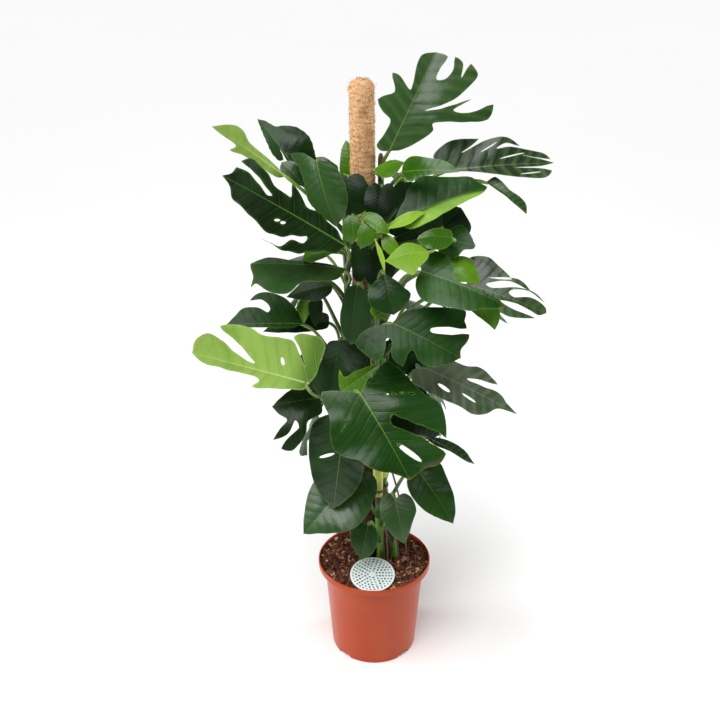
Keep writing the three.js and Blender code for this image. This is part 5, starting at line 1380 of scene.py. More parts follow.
@dataclass
class VineBars:
    """The climbing stems, with ring scars at their knuckles.

    A run is a stem's bearing round the pole and reach from its axis at the foot and at the head,
    its top, and its radius at the foot and at the top.
    """

    pole: Pole
    base: float = 120.0
    settle: float = 480.0
    knuckle: float = 1.14
    scar: float = 0.03
    scar_width: float = 0.05
    knobbly: float = 0.06
    lump: float = 40.0
    lump_rate: float = 1.6
    taper: Point = (0.97, 0.85, 0.5)
    pitch: float = 85.0
    step: float = 5.0
    sides: int = 18
    runs: dict[Vine, tuple[Flat, Flat, float, float, float]] = field(default_factory=lambda: {
        Vine.FRONT: ((-37, 40), (-78, 39), 1215, 11, 6),
        Vine.RIGHT: ((-5, 62), (-12, 39), 1285, 11, 6),
        Vine.BACK: ((62, 42), (80, 39), 1250, 10, 6),
        Vine.LEFT: ((114, 42), (190, 39), 1240, 11, 6),
    })

    def axis(self, vine: Vine, height: np.ndarray | float) -> np.ndarray:
        """Middle of a stem at a height or heights."""
        z = np.asarray(height, float)
        foot, head, top, _, _ = self.runs[vine]
        share = np.clip((z - self.pole.soil) / (top - self.pole.soil), 0, 1)
        lean = smooth((z - self.pole.soil) / (self.settle - self.pole.soil))
        bearing = np.radians(foot[0] + (head[0] - foot[0]) * share)
        reach = foot[1] + (head[1] - foot[1]) * lean
        offset = np.stack([reach * np.cos(bearing), reach * np.sin(bearing), np.zeros_like(z)], axis=-1)
        return self.pole.axis(z) + offset

    def radius(self, vine: Vine, height: np.ndarray | float) -> np.ndarray:
        """Radius of a stem at a height or heights, without its ring scars."""
        _, _, top, radius, tip = self.runs[vine]
        z = np.asarray(height, float)
        share = (z - self.base) / (top - self.base)
        steps = round((top - self.base) / self.pitch)
        swell = 1 - np.abs((share * steps) % 2 - 1)
        return (radius + (tip - radius) * share) * (1 + (self.knuckle - 1) * swell)

    def add_to(self, body: Body, vine: Vine, slot: int) -> None:
        """Add a stem with its ring scars to a body.

        Args:
            body: takes the stem.
            vine: which stem.
            slot: the stem's material.
        """
        top = self.runs[vine][2]
        heights = np.arange(self.base, top + 0.1, self.step)
        rings = (heights - self.base) / (self.pitch * 0.5)
        scar = np.exp(-(((rings + 0.5) % 1 - 0.5) / self.scar_width) ** 2)
        radii = self.radius(vine, heights) * (1 - self.scar + self.scar * scar)
        radii[-len(self.taper):] *= self.taper
        middles = self.axis(vine, heights)
        turns = np.arange(self.sides) / self.sides * math.tau
        seed = float(list(Vine).index(vine)) + 1.0
        around = np.column_stack([np.cos(turns), np.sin(turns)])
        ripple = self.knobbly * np.array([
            wobble(np.column_stack([around, np.full(self.sides, z / self.lump)]), self.lump_rate, seed)
            for z in heights
        ])
        shell, faces, flat = tube(middles, radii, self.sides, ripple)
        flat[:, 1] *= rings[-1]
        body.add(shell, faces, flat, slot)


@dataclass
class Husks:
    """Thin aerial roots and papery sheaths on the lower stems.

    A root has its stem, the height where it starts, the bearing it takes and how far out it lands.
    A sheath has its stem and its two ends.
    """

    vines: VineBars
    roots: tuple[tuple[Vine, float, float, float], ...] = (
        (Vine.FRONT, 505, 170, 22), (Vine.FRONT, 420, -50, 22), (Vine.RIGHT, 470, -60, 24),
        (Vine.RIGHT, 560, -20, 32), (Vine.BACK, 430, 20, 24), (Vine.LEFT, 520, 150, 28),
        (Vine.LEFT, 390, -160, 22), (Vine.FRONT, 350, 0, 20),
    )
    sheaths: tuple[tuple[Vine, float, float], ...] = (
        (Vine.FRONT, 440, 525), (Vine.RIGHT, 480, 540), (Vine.BACK, 330, 400), (Vine.LEFT, 300, 370),
    )
    radius: float = 2.6
    tip: float = 1.6
    belly: float = 14.0
    depth: float = 12.0
    droop: float = 0.2
    plunge: float = 0.4
    swell: float = 0.2
    tuck: float = 0.06
    belly_at: float = 1.4
    mouth: float = 0.99
    step: float = 5.0
    steps: int = 18
    sides: int = 10

    def root(self, vine: Vine, height: float, bearing: float, reach: float) -> np.ndarray:
        """Middle line of a root, which hangs from its stem down into the mix.

        Args:
            vine: the stem that it grows from.
            height: where it starts.
            bearing: the side it goes to, in degrees.
            reach: how far from the stem it lands.

        Returns:
            The line's points.
        """
        soil = self.vines.pole.soil
        way = np.array([math.cos(math.radians(bearing)), math.sin(math.radians(bearing)), 0.0])
        start, end = self.vines.axis(vine, height), self.vines.axis(vine, soil) + way * reach
        end[2] = soil - self.depth
        first = start + way * (self.belly * 2) - np.array([0, 0, (height - soil) * self.droop])
        second = end + way * (self.belly * 0.5) + np.array([0, 0, (height - soil) * self.plunge])
        return swoop(start, first, second, end, self.steps)

    def build(self) -> None:
        """Build and place the roots and sheaths."""
        body = Body("aerial_roots")
        for vine, height, bearing, reach in self.roots:
            line = self.root(vine, height, bearing, reach)
            shell, faces, flat = tube(line, np.linspace(self.radius, self.tip, len(line)), self.sides)
            body.add(shell, faces, flat)
        for vine, low, high in self.sheaths:
            heights = np.arange(low, high + 0.1, self.step)
            share = (heights - low) / (high - low)
            full = np.sin(math.pi * share ** self.belly_at) ** 0.5
            grow = 1 + self.swell * full - self.tuck * (share > self.mouth)
            shell, faces, flat = tube(
                self.vines.axis(vine, heights), self.vines.radius(vine, heights) * grow, self.sides * 2
            )
            body.add(shell, faces, flat, 1)
        root = StemFinish("root", (112, 100, 66), (66, 46, 28), (170, 150, 108)).material()
        # Straw sheaths, made brighter than their own tone: painted light where the front leaf shades them.
        sheath = StemFinish("sheath", (200, 210, 92), (150, 148, 66), (236, 230, 160)).material()
        place_piece(body.make([root, sheath]), "stem")


@dataclass
class BladeForm:
    """Where the flat points of one blade lie in space, and its fine mesh.

    The thickness, the rib and the size of a small blade are in millimetres, and what else is a
    length is in blade lengths. The spine is the columns of points beside the midrib.
    """

    leaf: Leaf
    seed: int
    half_thickness: float = 0.5
    rib: float = 2.2
    rib_above: float = 0.25
    rib_width: float = 0.016
    rib_fade: float = 0.9
    quilt: float = 0.0007
    quilt_reach: float = 0.1
    ruffle: float = 0.019
    ruffle_reach: float = 0.3
    ruffle_slant: float = 3.0
    kink: float = 0.008
    wander: float = 0.0018
    wander_reach: float = 0.06
    wander_rate: float = 22.0
    wander_waves: int = 5
    wave_rates: Flat = (4.0, 11.0)
    wave_weights: Flat = (0.4, 1.0)
    wave_count: int = 3
    point: float = 0.85
    blunt: float = 48.0
    spacing: float = 0.024
    small: float = 110.0
    small_spacing: float = 0.045
    quick_spacing: float = 1.7
    spine: tuple[float, ...] = (0.0, 0.007, -0.007, 0.016, -0.016, 0.028, -0.028)
    spine_edge: float = 0.034
    spine_ends: Flat = (0.012, 0.99)
    spine_step: float = 0.8
    spine_clear: float = 0.005
    spine_near: float = 0.03
    row_step: float = 0.87
    rim_step: float = 0.7
    rim_clear: float = 0.4
    hole_points: int = 14
    least_steps: int = 3
    curl_over: float = 0.5
    # Reach and fade of the painted light patches, in their half sizes.
    painted_light_end: float = 1.15
    painted_light_fade: float = 0.35
    sliver: float = 1e-9

    def __post_init__(self) -> None:
        """Work out the blade's own axes, and its ruffle's random field."""
        self.at = np.array(self.leaf.junction, float)
        along = np.array(self.leaf.tip, float) - self.at
        self.size = float(np.linalg.norm(along))
        self.along = along / self.size
        up = np.array(self.leaf.face, float)
        up -= self.along * float(up @ self.along)
        self.up = up / np.linalg.norm(up)
        self.across = np.cross(self.along, self.up)
        draw = np.random.default_rng(self.seed)
        self.waves = [
            (draw.uniform(*self.wave_rates), draw.uniform(0, math.tau), draw.uniform(*self.wave_weights))
            for _ in range(self.wave_count)
        ]
        self.tint = draw.uniform()
        count = self.wander_waves
        rates, phases = draw.normal(0, self.wander_rate, (count, 2)), draw.uniform(0, math.tau, count)
        self.strays = rates, phases, draw.normal(0, 1, (count, 2))
        if self.size < self.small:
            self.spacing = self.small_spacing

    def place(self, flat: np.ndarray) -> np.ndarray:
        """Points in space, in millimetres, of flat blade points.

        Args:
            flat: points as out (positive on half a) and forward, in blade lengths.

        Returns:
            The points.
        """
        out, forward = flat[:, 0], flat[:, 1]
        fold, bend = math.radians(self.leaf.fold), math.radians(self.leaf.curl) / self.curl_over
        reach = np.sqrt(out * out + self.kink ** 2) - self.kink
        x = (math.sin(fold) - np.sin(fold - bend * np.abs(out))) / bend * np.sign(out)
        h = (np.cos(fold - bend * reach) - math.cos(fold)) / bend
        h = h + self.leaf.bow * 4 * forward * (1 - forward)
        fade = smooth(reach / self.quilt_reach)
        h = h - self.quilt * fade * np.cos(math.tau * VEINS.phase(out, forward))
        free = smooth(reach / self.ruffle_reach)
        for rate, start, weight in self.waves:
            wave = np.sin(rate * forward + start + self.ruffle_slant * out)
            h = h + self.ruffle * weight * free * wave
        return (
            self.at + np.outer(x * self.size, self.across) + np.outer(forward * self.size, self.along)
            + (h * self.size)[:, None] * self.up
        )

    def normals(self, flat: np.ndarray) -> np.ndarray:
        """Directions square to the blade at flat points."""
        step = 2e-3
        du, dv = np.array([[step, 0.0]]), np.array([[0.0, step]])
        n = np.cross(
            self.place(flat + du) - self.place(flat - du), self.place(flat + dv) - self.place(flat - dv)
        )
        return n / np.linalg.norm(n, axis=1)[:, None]

    def half_rim(self, half: tuple[Flat, ...] | Half, side: int) -> np.ndarray:
        """Smooth rim of one half, from the junction to the tip.

        Args:
            half: the corner points.
            side: 1 for half a, -1 for half b.

        Returns:
            The rim's flat points, both ends included.
        """
        corners = half.value if isinstance(half, Half) else half
        knots = np.array([(0, 0), *corners, (0, 100)], float) / 100
        ends = np.vstack([2 * knots[0] - knots[1], knots, 2 * knots[-1] - knots[-2]])
        ways = np.diff(ends, axis=0)
        headings = np.unwrap(np.arctan2(ways[:, 1], ways[:, 0]))
        sharp = self.point * smooth((np.degrees(np.diff(headings)) - self.blunt) / self.blunt)
        made = [knots[:1]]
        for i, (p0, p1, p2, p3) in enumerate(zip(ends, ends[1:], ends[2:], ends[3:])):
            pairs = ((p0, p1), (p1, p2), (p2, p3))
            gaps = [max(float(np.linalg.norm(b - a)) ** 0.5, 1e-4) for a, b in pairs]
            t1, t2, t3 = gaps[0], gaps[0] + gaps[1], sum(gaps)
            long = float(np.linalg.norm(p2 - p1))
            steps = max(self.least_steps, math.ceil(long / (self.spacing * self.rim_step)))
            t = np.linspace(t1, t2, steps + 1)[1:, None]
            a1, a2, a3 = mix(t, 0, t1, p0, p1), mix(t, t1, t2, p1, p2), mix(t, t2, t3, p2, p3)
            share = (t - t1) / (t2 - t1)
            straight = sharp[i] * (1 - share) ** 2 + sharp[i + 1] * share ** 2
            curve = (1 - share) * mix(t, 0, t2, a1, a2) + share * mix(t, t1, t3, a2, a3)
            made.append(curve + ((1 - share) * p1 + share * p2 - curve) * straight)
        rim = np.vstack(made)
        rim += self.wandering(rim * (side, 1)) * smooth(rim[:, :1] / self.wander_reach)
        rim[:, 0] = np.maximum(rim[:, 0], 0.0) * side
        return rim

    def wandering(self, flat: np.ndarray) -> np.ndarray:
        """How far a rim strays from its smooth line at flat points, out and along."""
        rates, phases, ways = self.strays
        return np.sin(flat @ rates.T + phases) @ ways * self.wander

    def openings(self) -> list[np.ndarray]:
        """Flat outlines of the blade's holes."""
        made = []
        for out, forward, long, wide, angle in self.leaf.holes:
            turn = math.radians(angle) * math.copysign(1, out)
            around = bearings(self.hole_points)
            x, y = wide * np.sin(around), long * np.cos(around)
            made.append(np.column_stack([
                out + y * math.sin(turn) + x * math.cos(turn),
                forward + y * math.cos(turn) - x * math.sin(turn),
            ]))
        return made

    def mesh(self) -> tuple[np.ndarray, Faces]:
        """Fine flat triangles of the blade, all facing its upper side.

        Returns:
            Flat points and triangles.
        """
        right, left = self.half_rim(self.leaf.a, 1), self.half_rim(self.leaf.b, -1)
        rim = np.vstack([right, left[-2:0:-1]])
        loops = [rim, *self.openings()]
        border = np.vstack(loops)
        low, high = rim.min(axis=0), rim.max(axis=0)
        rows = np.arange(low[1], high[1], self.spacing * self.row_step)
        grid = np.array([
            (x + (i % 2) * self.spacing / 2, y)
            for i, y in enumerate(rows) for x in np.arange(low[0], high[0], self.spacing)
        ])
        grid = grid[np.abs(grid[:, 0]) > self.spine_edge]
        ranks = np.arange(*self.spine_ends, self.spacing * self.spine_step)
        spine = np.array([(x, y) for x in self.spine for y in ranks])
        free = np.vstack([grid, spine])
        free = free[inside(free, rim)]
        for hole in loops[1:]:
            free = free[~inside(free, hole)]
        far = np.min(np.linalg.norm(free[:, None] - border[None], axis=2), axis=1)
        central = np.abs(free[:, 0]) < self.spine_near
        free = free[far > np.where(central, self.spine_clear, self.spacing * self.rim_clear)]
        edges, start = [], 0
        for loop in loops:
            count = len(loop)
            edges += [(start + i, start + (i + 1) % count) for i in range(count)]
            start += count
        points, _, faces, _, _, _ = delaunay_2d_cdt(
            [Vector(p) for p in np.vstack([border, free])], edges, [], 0, 1e-6
        )
        flat = np.array([tuple(p) for p in points])
        faces = np.array(faces)
        middles = flat[faces].mean(axis=1)
        keep = inside(middles, rim)
        for hole in loops[1:]:
            keep &= ~inside(middles, hole)
        faces = faces[keep]
        a, b, c = flat[faces[:, 0]], flat[faces[:, 1]], flat[faces[:, 2]]
        area = (b[:, 0] - a[:, 0]) * (c[:, 1] - a[:, 1]) - (c[:, 0] - a[:, 0]) * (b[:, 1] - a[:, 1])
        real = np.abs(area) > self.sliver
        faces, turn = faces[real], area[real] < 0
        faces[turn] = faces[turn][:, ::-1]
        used, index = np.unique(faces, return_inverse=True)
        return flat[used], [tuple(row) for row in index.reshape(-1, 3).tolist()]

    def add_to(self, body: Body, slot: int) -> None:
        """Add the blade as a closed thin shell to a body.

        Args:
            body: takes the blade.
            slot: the blade's material.
        """
        flat, faces = self.mesh()
        count = len(flat)
        normals = self.normals(flat)
        ridge = np.exp(-((flat[:, 0] / self.rib_width) ** 2))
        ridge *= 1 - self.rib_fade * np.clip(flat[:, 1], 0, 1)
        middle = self.place(flat)
        upper = middle + normals * (self.half_thickness + self.rib_above * self.rib * ridge)[:, None]
        under = middle - normals * (self.half_thickness + self.rib * ridge)[:, None]
        edges: dict[tuple[int, int], None] = {}
        for a, b, c in faces:
            for p, q in ((a, b), (b, c), (c, a)):
                if (q, p) in edges:
                    del edges[q, p]
                else:
                    edges[p, q] = None
        shell = [*faces, *[(a + count, c + count, b + count) for a, b, c in faces]]
        shell += [(p, p + count, q + count, q) for p, q in edges]
        sharp = [pair for p, q in edges for pair in ((p, q), (p + count, q + count))]
        rim = np.zeros(count)
        rim[[point for edge in edges for point in edge]] = 1.0
        # Painted light patches, stored for the finish.
        glow = np.zeros(count)
        for out, forward, wide, long, strength in self.leaf.glow:
            far = np.hypot((flat[:, 0] - out) / wide, (flat[:, 1] - forward) / long)
            glow = np.maximum(glow, strength * smooth((self.painted_light_end - far) / self.painted_light_fade))
        body.add(
            np.vstack([upper, under]), shell, np.vstack([flat, flat]), slot, sharp,
            under=np.concatenate([np.zeros(count), np.ones(count)]), glow=np.concatenate([glow, glow]),
            rim=np.concatenate([rim, rim]), tint=np.full(2 * count, self.tint),
        )


def inside(points: np.ndarray, loop: np.ndarray) -> np.ndarray:
    """Which flat points lie inside a closed outline.

    Args:
        points: the points to test.
        loop: the outline's corners.

    Returns:
        True for each point inside.
    """
    x, y = points[:, 0][:, None], points[:, 1][:, None]
    x1, y1 = loop[:, 0][None], loop[:, 1][None]
    x2, y2 = np.roll(loop[:, 0], -1)[None], np.roll(loop[:, 1], -1)[None]
    spans = (y1 > y) != (y2 > y)
    rise = np.where(y2 == y1, 1e-12, y2 - y1)
    return (np.sum(spans & (x < (x2 - x1) * (y - y1) / rise + x1), axis=1) % 2).astype(bool)


@dataclass
class Stalk:
    """A leaf's stalk, from its stem to a short way up the midrib."""

    form: BladeForm
    vines: VineBars
    base: float = 5.2
    end: float = 3.0
    bury: float = 0.04
    out: float = 0.25
    rise: float = 0.35
    back: float = 0.2
    under: float = 0.15
    knee: float = 0.3
    knee_at: float = 0.9
    knee_width: float = 0.05
    collar: float = 0.25
    collar_width: float = 0.08
    steps: int = 22
    sides: int = 12

    def line(self) -> np.ndarray:
        """The stalk's middle line."""
        leaf, form = self.form.leaf, self.form
        start = self.vines.axis(leaf.vine, leaf.grow)
        end = form.at + form.along * (self.bury * form.size)
        reach = float(np.linalg.norm(end - start))
        way = np.array([end[0] - start[0], end[1] - start[1], 0.0])
        way /= np.linalg.norm(way)
        bend = np.array(leaf.bend, float)
        first = start + way * (reach * self.out) + bend + np.array([0, 0, reach * self.rise])
        second = form.at - form.along * (reach * self.back) - form.up * (reach * self.under) + bend
        return swoop(start, first, second, end, self.steps + 1)

    def add_to(self, body: Body, slot: int) -> None:
        """Add the stalk to a body.

        Args:
            body: takes the stalk.
            slot: the stalk's material.
        """
        line = self.line()
        share = np.linspace(0, 1, len(line))
        radii = self.base + (self.end - self.base) * share
        knee = np.exp(-(((share - self.knee_at) / self.knee_width) ** 2))
        collar = np.exp(-((share / self.collar_width) ** 2))
        radii = radii * (1 + self.knee * knee + self.collar * collar)
        shell, faces, flat = tube(line, radii, self.sides)
        body.add(shell, faces, flat, slot)


@dataclass
class Foliage:
    """All leaves, each with its stalk, and the stems that carry the young ones."""

    vines: VineBars
    pale_nodes: tuple[str, ...] = (
        "slim_leaf", "pale_leaf", "lime_leaf", "lit_leaf_a", "glow_leaf_a", "glow_leaf_b", "gloss_leaf",
        "curl_leaf", "fold_leaf", "back_lit_leaf",
    )

    def build(self) -> None:
        """Build and place every stem and leaf."""
        blades = {look: finish.material(look.value) for look, finish in BLADE_FINISHES.items()}
        stalk, stem = StalkFinish().material(), StemFinish().material()
        looks = list(Look)
        slots = [*(blades[look] for look in looks), stalk, stem]
        names = list(LEAVES)
        for vine in Vine:
            body = Body(f"{vine.value}_grown")
            self.vines.add_to(body, vine, len(looks) + 1)
            for name, leaf in LEAVES.items():
                if leaf.young and leaf.vine is vine:
                    form = BladeForm(leaf, names.index(name))
                    form.add_to(body, looks.index(leaf.look))
                    Stalk(form, self.vines).add_to(body, len(looks))
            place_piece(body.make(slots), "stem", vine.value)
        for number, (name, leaf) in enumerate(LEAVES.items()):
            if leaf.young:
                continue
            form = BladeForm(leaf, number)
            body = Body(f"{name}_grown")
            form.add_to(body, 0)
            Stalk(form, self.vines).add_to(body, 1)
            item = body.make([blades[leaf.look], stalk])
            place_piece(item, "pale_leaf" if name in self.pale_nodes else "dark_leaf", name)


@dataclass
class Pot:
    """Tapered nursery pot: banded lip, foot ring with notches, and drain holes."""

    height: float = 250.0
    rim_radius: float = 137.0
    body_top: float = 121.0
    base_radius: float = 103.0
    wall: float = 3.0
    lip_height: float = 17.0
    lip_band: float = 4.0
    edge: float = 2.0
    flare: float = 4.0
    draft: float = 1.0
    floor: float = 12.0
    cove: float = 4.0
    foot_height: float = 9.0
    foot_pad: float = 40.0
    foot_depth: float = 22.0
    foot_slope: float = 3.0
    notch_width: float = 36.0
    notches: int = 4
    drain_radius: float = 5.0
    drain_ring: float = 88.0
    drain_sides: int = 20
    drain_from: float = -5.0
    drain_past: float = 1.6
    notch_reach: Flat = (-1.5, 0.5)
    notch_shoulder: float = 3.0
    notch_top: float = 0.86
    rounding: float = 1.6
    crease: float = 38.0
    sides: int = 144

    def profile(self) -> list[Flat]:
        """The pot's section, from the middle of its underside to the middle of its floor."""
        lip_base = self.height - self.lip_height
        lip_inner = self.rim_radius - self.lip_band
        inner = self.base_radius - self.wall
        foot_inner = self.base_radius - self.foot_depth
        corners = [
            (0, 0), (self.foot_pad, 0), (self.foot_pad + self.foot_slope, self.foot_height),
            (foot_inner, self.foot_height), (foot_inner + self.foot_slope, 0),
            (self.base_radius - self.edge, 0), (self.base_radius, self.foot_slope),
            (self.body_top, lip_base - self.flare), (self.rim_radius - self.edge, lip_base),
            (self.rim_radius, lip_base + self.edge), (self.rim_radius, self.height - self.edge),
            (self.rim_radius - self.edge, self.height), (lip_inner, self.height - self.edge / 2),
            (lip_inner - self.draft, lip_base + self.flare),
            (self.body_top - self.wall, lip_base - self.flare - self.edge),
            (inner, self.floor + self.cove), (inner - self.cove, self.floor), (0, self.floor),
        ]
        return rounded(corners, self.rounding)

    def cutter(self, kind: str, angle: float) -> bpy.types.Object:
        """A tool that cuts one notch or one drain hole.

        Args:
            kind: notch or drain.
            angle: its bearing.

        Returns:
            The tool's object.
        """
        turn = Matrix.Rotation(angle, 4, "Z")
        if kind == "notch":
            x0, x1 = (self.base_radius + self.foot_depth * reach for reach in self.notch_reach)
            half, top, wide = self.notch_width / 2, self.foot_height, self.notch_top
            shoulder = top - self.notch_shoulder
            section = ((-1, -top), (1, -top), (1, shoulder), (wide, top), (-wide, top), (-1, shoulder))
            corners = [(x, y * half, z) for x in (x0, x1) for y, z in section]
            faces = [tuple(range(5, -1, -1)), tuple(range(6, 12))]
            faces += [(i, (i + 1) % 6, (i + 1) % 6 + 6, i + 6) for i in range(6)]
            points = np.array(corners, float)
        else:
            ends = (self.drain_from, self.floor * self.drain_past)
            line = np.array([[self.drain_ring, 0, z] for z in ends])
            points, faces, _ = tube(line, np.full(2, self.drain_radius), self.drain_sides)
        body = Body(f"{kind}_cutter")
        body.add(np.array([tuple(turn @ Vector(p)) for p in points]), faces)
        return body.make([])

    def build(self) -> None:
        """Build and place the pot."""
        body = Body("pot_shell")
        points, faces = turned(self.profile(), self.sides)
        body.add(points, faces)
        work = body.make([PlasticFinish().material()])
        tools = []
        for i in range(self.notches):
            angle = math.pi / 4 + math.tau * i / self.notches
            for kind in ("notch", "drain"):
                tool = self.cutter(kind, angle)
                modifier = work.modifiers.new(f"{kind}_{i}", "BOOLEAN")
                modifier.operation, modifier.solver, modifier.object = "DIFFERENCE", "EXACT", tool
                tools.append(tool)
        graph = bpy.context.evaluated_depsgraph_get()
        mesh = bpy.data.meshes.new_from_object(work.evaluated_get(graph), depsgraph=graph)
        for item in (work, *tools):
            bpy.data.objects.remove(item)
        mesh.name = "pot_shell"
        mesh.shade_smooth()
        mesh.set_sharp_from_angle(angle=math.radians(self.crease))
        place_piece(show("pot_shell", mesh), "pot_plastic", "pot")


@dataclass
class PottingMix:
    """Bark mix: a crumbly surface strewn with chips.

    A lump noise is its lumps a millimetre, its seed and its weight. A strewn piece is its size, its
    smallest and largest scale, and its tilt.
    """

    pot: Pot
    edge: float = 240.0
    crown: float = 243.0
    level: float = 0.6
    clear: float = 1.0
    floor_clear: float = 0.3
    rings: int = 44
    sides: int = 150
    surface_slack: float = 0.5
    roughness: float = 2.6
    lumps: tuple[Point, ...] = ((0.035, 1.0, 0.9), (0.11, 3.0, 0.7), (0.3, 6.0, 0.5))
    chips: int = 1700
    chip: tuple[Point, float, float, float] = ((17.0, 8.0, 3.4), 0.35, 1.3, 0.8)
    splinters: int = 620
    splinter: tuple[Point, float, float, float] = ((24.0, 3.2, 1.6), 0.4, 1.2, 0.45)
    rim_bare: float = 3.0
    rim_fade: float = 4.0
    label_centre: Flat = (-5.0, -77.0)
    label_clear: float = 50.0
    label_fade: float = 8.0
    label_bed: float = 12.0
    label_sink: float = 2.0

    def build(self) -> None:
        """Build and place the mix and its chips."""
        lip = self.pot.rim_radius - self.pot.lip_band - self.pot.draft - self.clear
        foot = self.pot.base_radius - self.pot.wall - self.clear
        lip_base = self.pot.height - self.pot.lip_height
        bottom = self.pot.floor + self.floor_clear
        shoulder = self.pot.body_top - self.pot.wall - self.clear
        radii = lip * np.linspace(1, 0, self.rings + 1)[:-1]
        surface = [
            (r, self.edge + (self.crown - self.edge) * min(1.0, (lip - r) / (lip * (1 - self.level))))
            for r in radii
        ]
        profile = [
            (0, bottom), (foot - self.pot.cove, bottom), (foot, bottom + self.pot.cove),
            (shoulder, lip_base - self.pot.flare - self.pot.edge),
            (lip, lip_base + self.pot.flare + self.clear), *surface, (0, self.crown),
        ]
        points, faces = turned(profile, self.sides)
        top = points[:, 2] > self.edge - self.surface_slack
        rise = sum(wobble(points[top], scale, seed) * weight for scale, seed, weight in self.lumps)
        points[top, 2] += rise * self.roughness
        near = np.hypot(points[:, 0] - self.label_centre[0], points[:, 1] - self.label_centre[1])
        rim = smooth((lip - self.rim_bare - np.hypot(points[:, 0], points[:, 1])) / self.rim_fade)
        cover = top * smooth((near - self.label_clear) / self.label_fade) * rim
        points[top & (near < self.label_clear + self.label_bed), 2] -= self.label_sink
        body = Body("potting_mix_bed")
        body.add(points, faces, cover=cover)
        bed = body.make([BarkFinish("bark_bed").material()])
        bark = BarkFinish("bark_chips", chips=True).material()
        chips = Scatter("bark_chips", Strew.CHIP, self.chips, *self.chip, bark)
        slivers = Scatter("bark_splinters", Strew.CHIP, self.splinters, *self.splinter, bark)
        laid = [chips.over(bed, 23), slivers.over(bed, 41)]
        place_piece(bed, "bark_mix", "potting_mix")
        for item in laid:
            place_piece(item, "bark_mix")


@dataclass
class Label:
    """Round plant label on a spike, tipped back against the mix."""

    radius: float = 54.0
    thickness: float = 1.2
    centre: Point = (-5.0, -77.0, 254.0)
    tilt: float = 12.0
    spike_width: float = 9.0
    spike_depth: float = 2.0
    spike_length: float = 80.0
    spike_shoulder: float = 0.8
    spike_tip: float = 0.25
    edge: float = 0.4
    sides: int = 96

    def build(self) -> None:
        """Build and place the label."""
        half = self.thickness / 2
        profile = [(0, -half), (self.radius, -half), (self.radius, half), (0, half)]
        profile = rounded(profile, self.edge, 2)
        points, faces = turned(profile, self.sides)
        turn = Matrix.Rotation(math.radians(self.tilt), 4, "X")
        move = Matrix.Translation(Vector(self.centre))
        body = Body("plant_label_card")
        placed = np.array([tuple(move @ turn @ Vector(p)) for p in points])
        body.add(placed, faces, points[:, :2] / self.radius)
        w, d, long = self.spike_width / 2, self.spike_depth / 2, self.spike_length
        rows = [(w, 0.0), (w, -long * self.spike_shoulder), (w * self.spike_tip, -long)]
        signs = ((-1, -1), (1, -1), (1, 1), (-1, 1))
        spike = np.array([(sx * x, sy * d, z) for x, z in rows for sx, sy in signs])
        walls = [(0, 1, 2, 3), (11, 10, 9, 8)]
        walls += [
            (i * 4 + (j + 1) % 4, i * 4 + j, i * 4 + j + 4, i * 4 + (j + 1) % 4 + 4)
            for i in range(2) for j in range(4)
        ]
        edges = [(i * 4 + j, i * 4 + (j + 1) % 4) for i in range(3) for j in range(4)]
        edges += [(i * 4 + j, i * 4 + j + 4) for i in range(2) for j in range(4)]
        body.add(spike + np.array(self.centre), walls, sharp=edges)
        place_piece(body.make([CardFinish().material()]), "label_card", "plant_label")


@dataclass
class Ties:
    """Soft bands that hold the stems to the pole."""

    vines: VineBars
    heights: tuple[float, ...] = (455.0, 675.0)
    width: float = 8.0
    thickness: float = 1.6
    clear: float = 0.5
    coir_swell: float = 1.2
    squareness: float = 0.6
    section_points: int = 12
    steps: int = 120

    def ring(self, height: float, grow: float, lift: float) -> np.ndarray:
        """Loop round the pole and the stems at a height, grown outwards.

        Args:
            height: where the band sits.
            grow: distance outside the stems.
            lift: distance above the height.

        Returns:
            The loop's points.
        """
        pole = self.vines.pole
        circles = [(pole.axis(height), pole.radius + self.coir_swell)]
        circles += [(self.vines.axis(v, height), float(self.vines.radius(v, height))) for v in Vine]
        turns = bearings(self.steps)
        far = np.max([c[0] * np.cos(turns) + c[1] * np.sin(turns) + r + grow for c, r in circles], axis=0)
        t, g = np.roll(turns, -1), np.roll(far, -1)
        det = np.cos(turns) * np.sin(t) - np.sin(turns) * np.cos(t)
        x = (far * np.sin(t) - g * np.sin(turns)) / det
        y = (g * np.cos(turns) - far * np.cos(t)) / det
        return np.column_stack([x, y, np.full(self.steps, height + lift)])

    def build(self) -> None:
        """Build and place the bands."""
        finish = BandFinish().material()
        half, mid = self.width / 2, self.thickness / 2
        turns = bearings(self.section_points)
        across, up = (
            [math.copysign(abs(wave(t)) ** self.squareness, wave(t)) for t in turns]
            for wave in (math.cos, math.sin)
        )
        section = [(self.clear + mid + mid * x, half * y) for x, y in zip(across, up)]
        for i, height in enumerate(self.heights):
            rings = [self.ring(height, grow, lift) for grow, lift in section]
            n, m = self.steps, len(rings)
            faces = [
                (k * n + j, k * n + (j + 1) % n, (k + 1) % m * n + (j + 1) % n, (k + 1) % m * n + j)
                for k in range(m) for j in range(n)
            ]
            body = Body(f"tie_{i + 1}_band")
            body.add(np.vstack(rings), faces)
            place_piece(body.make([finish]), "tie_band", f"tie_{i + 1}")


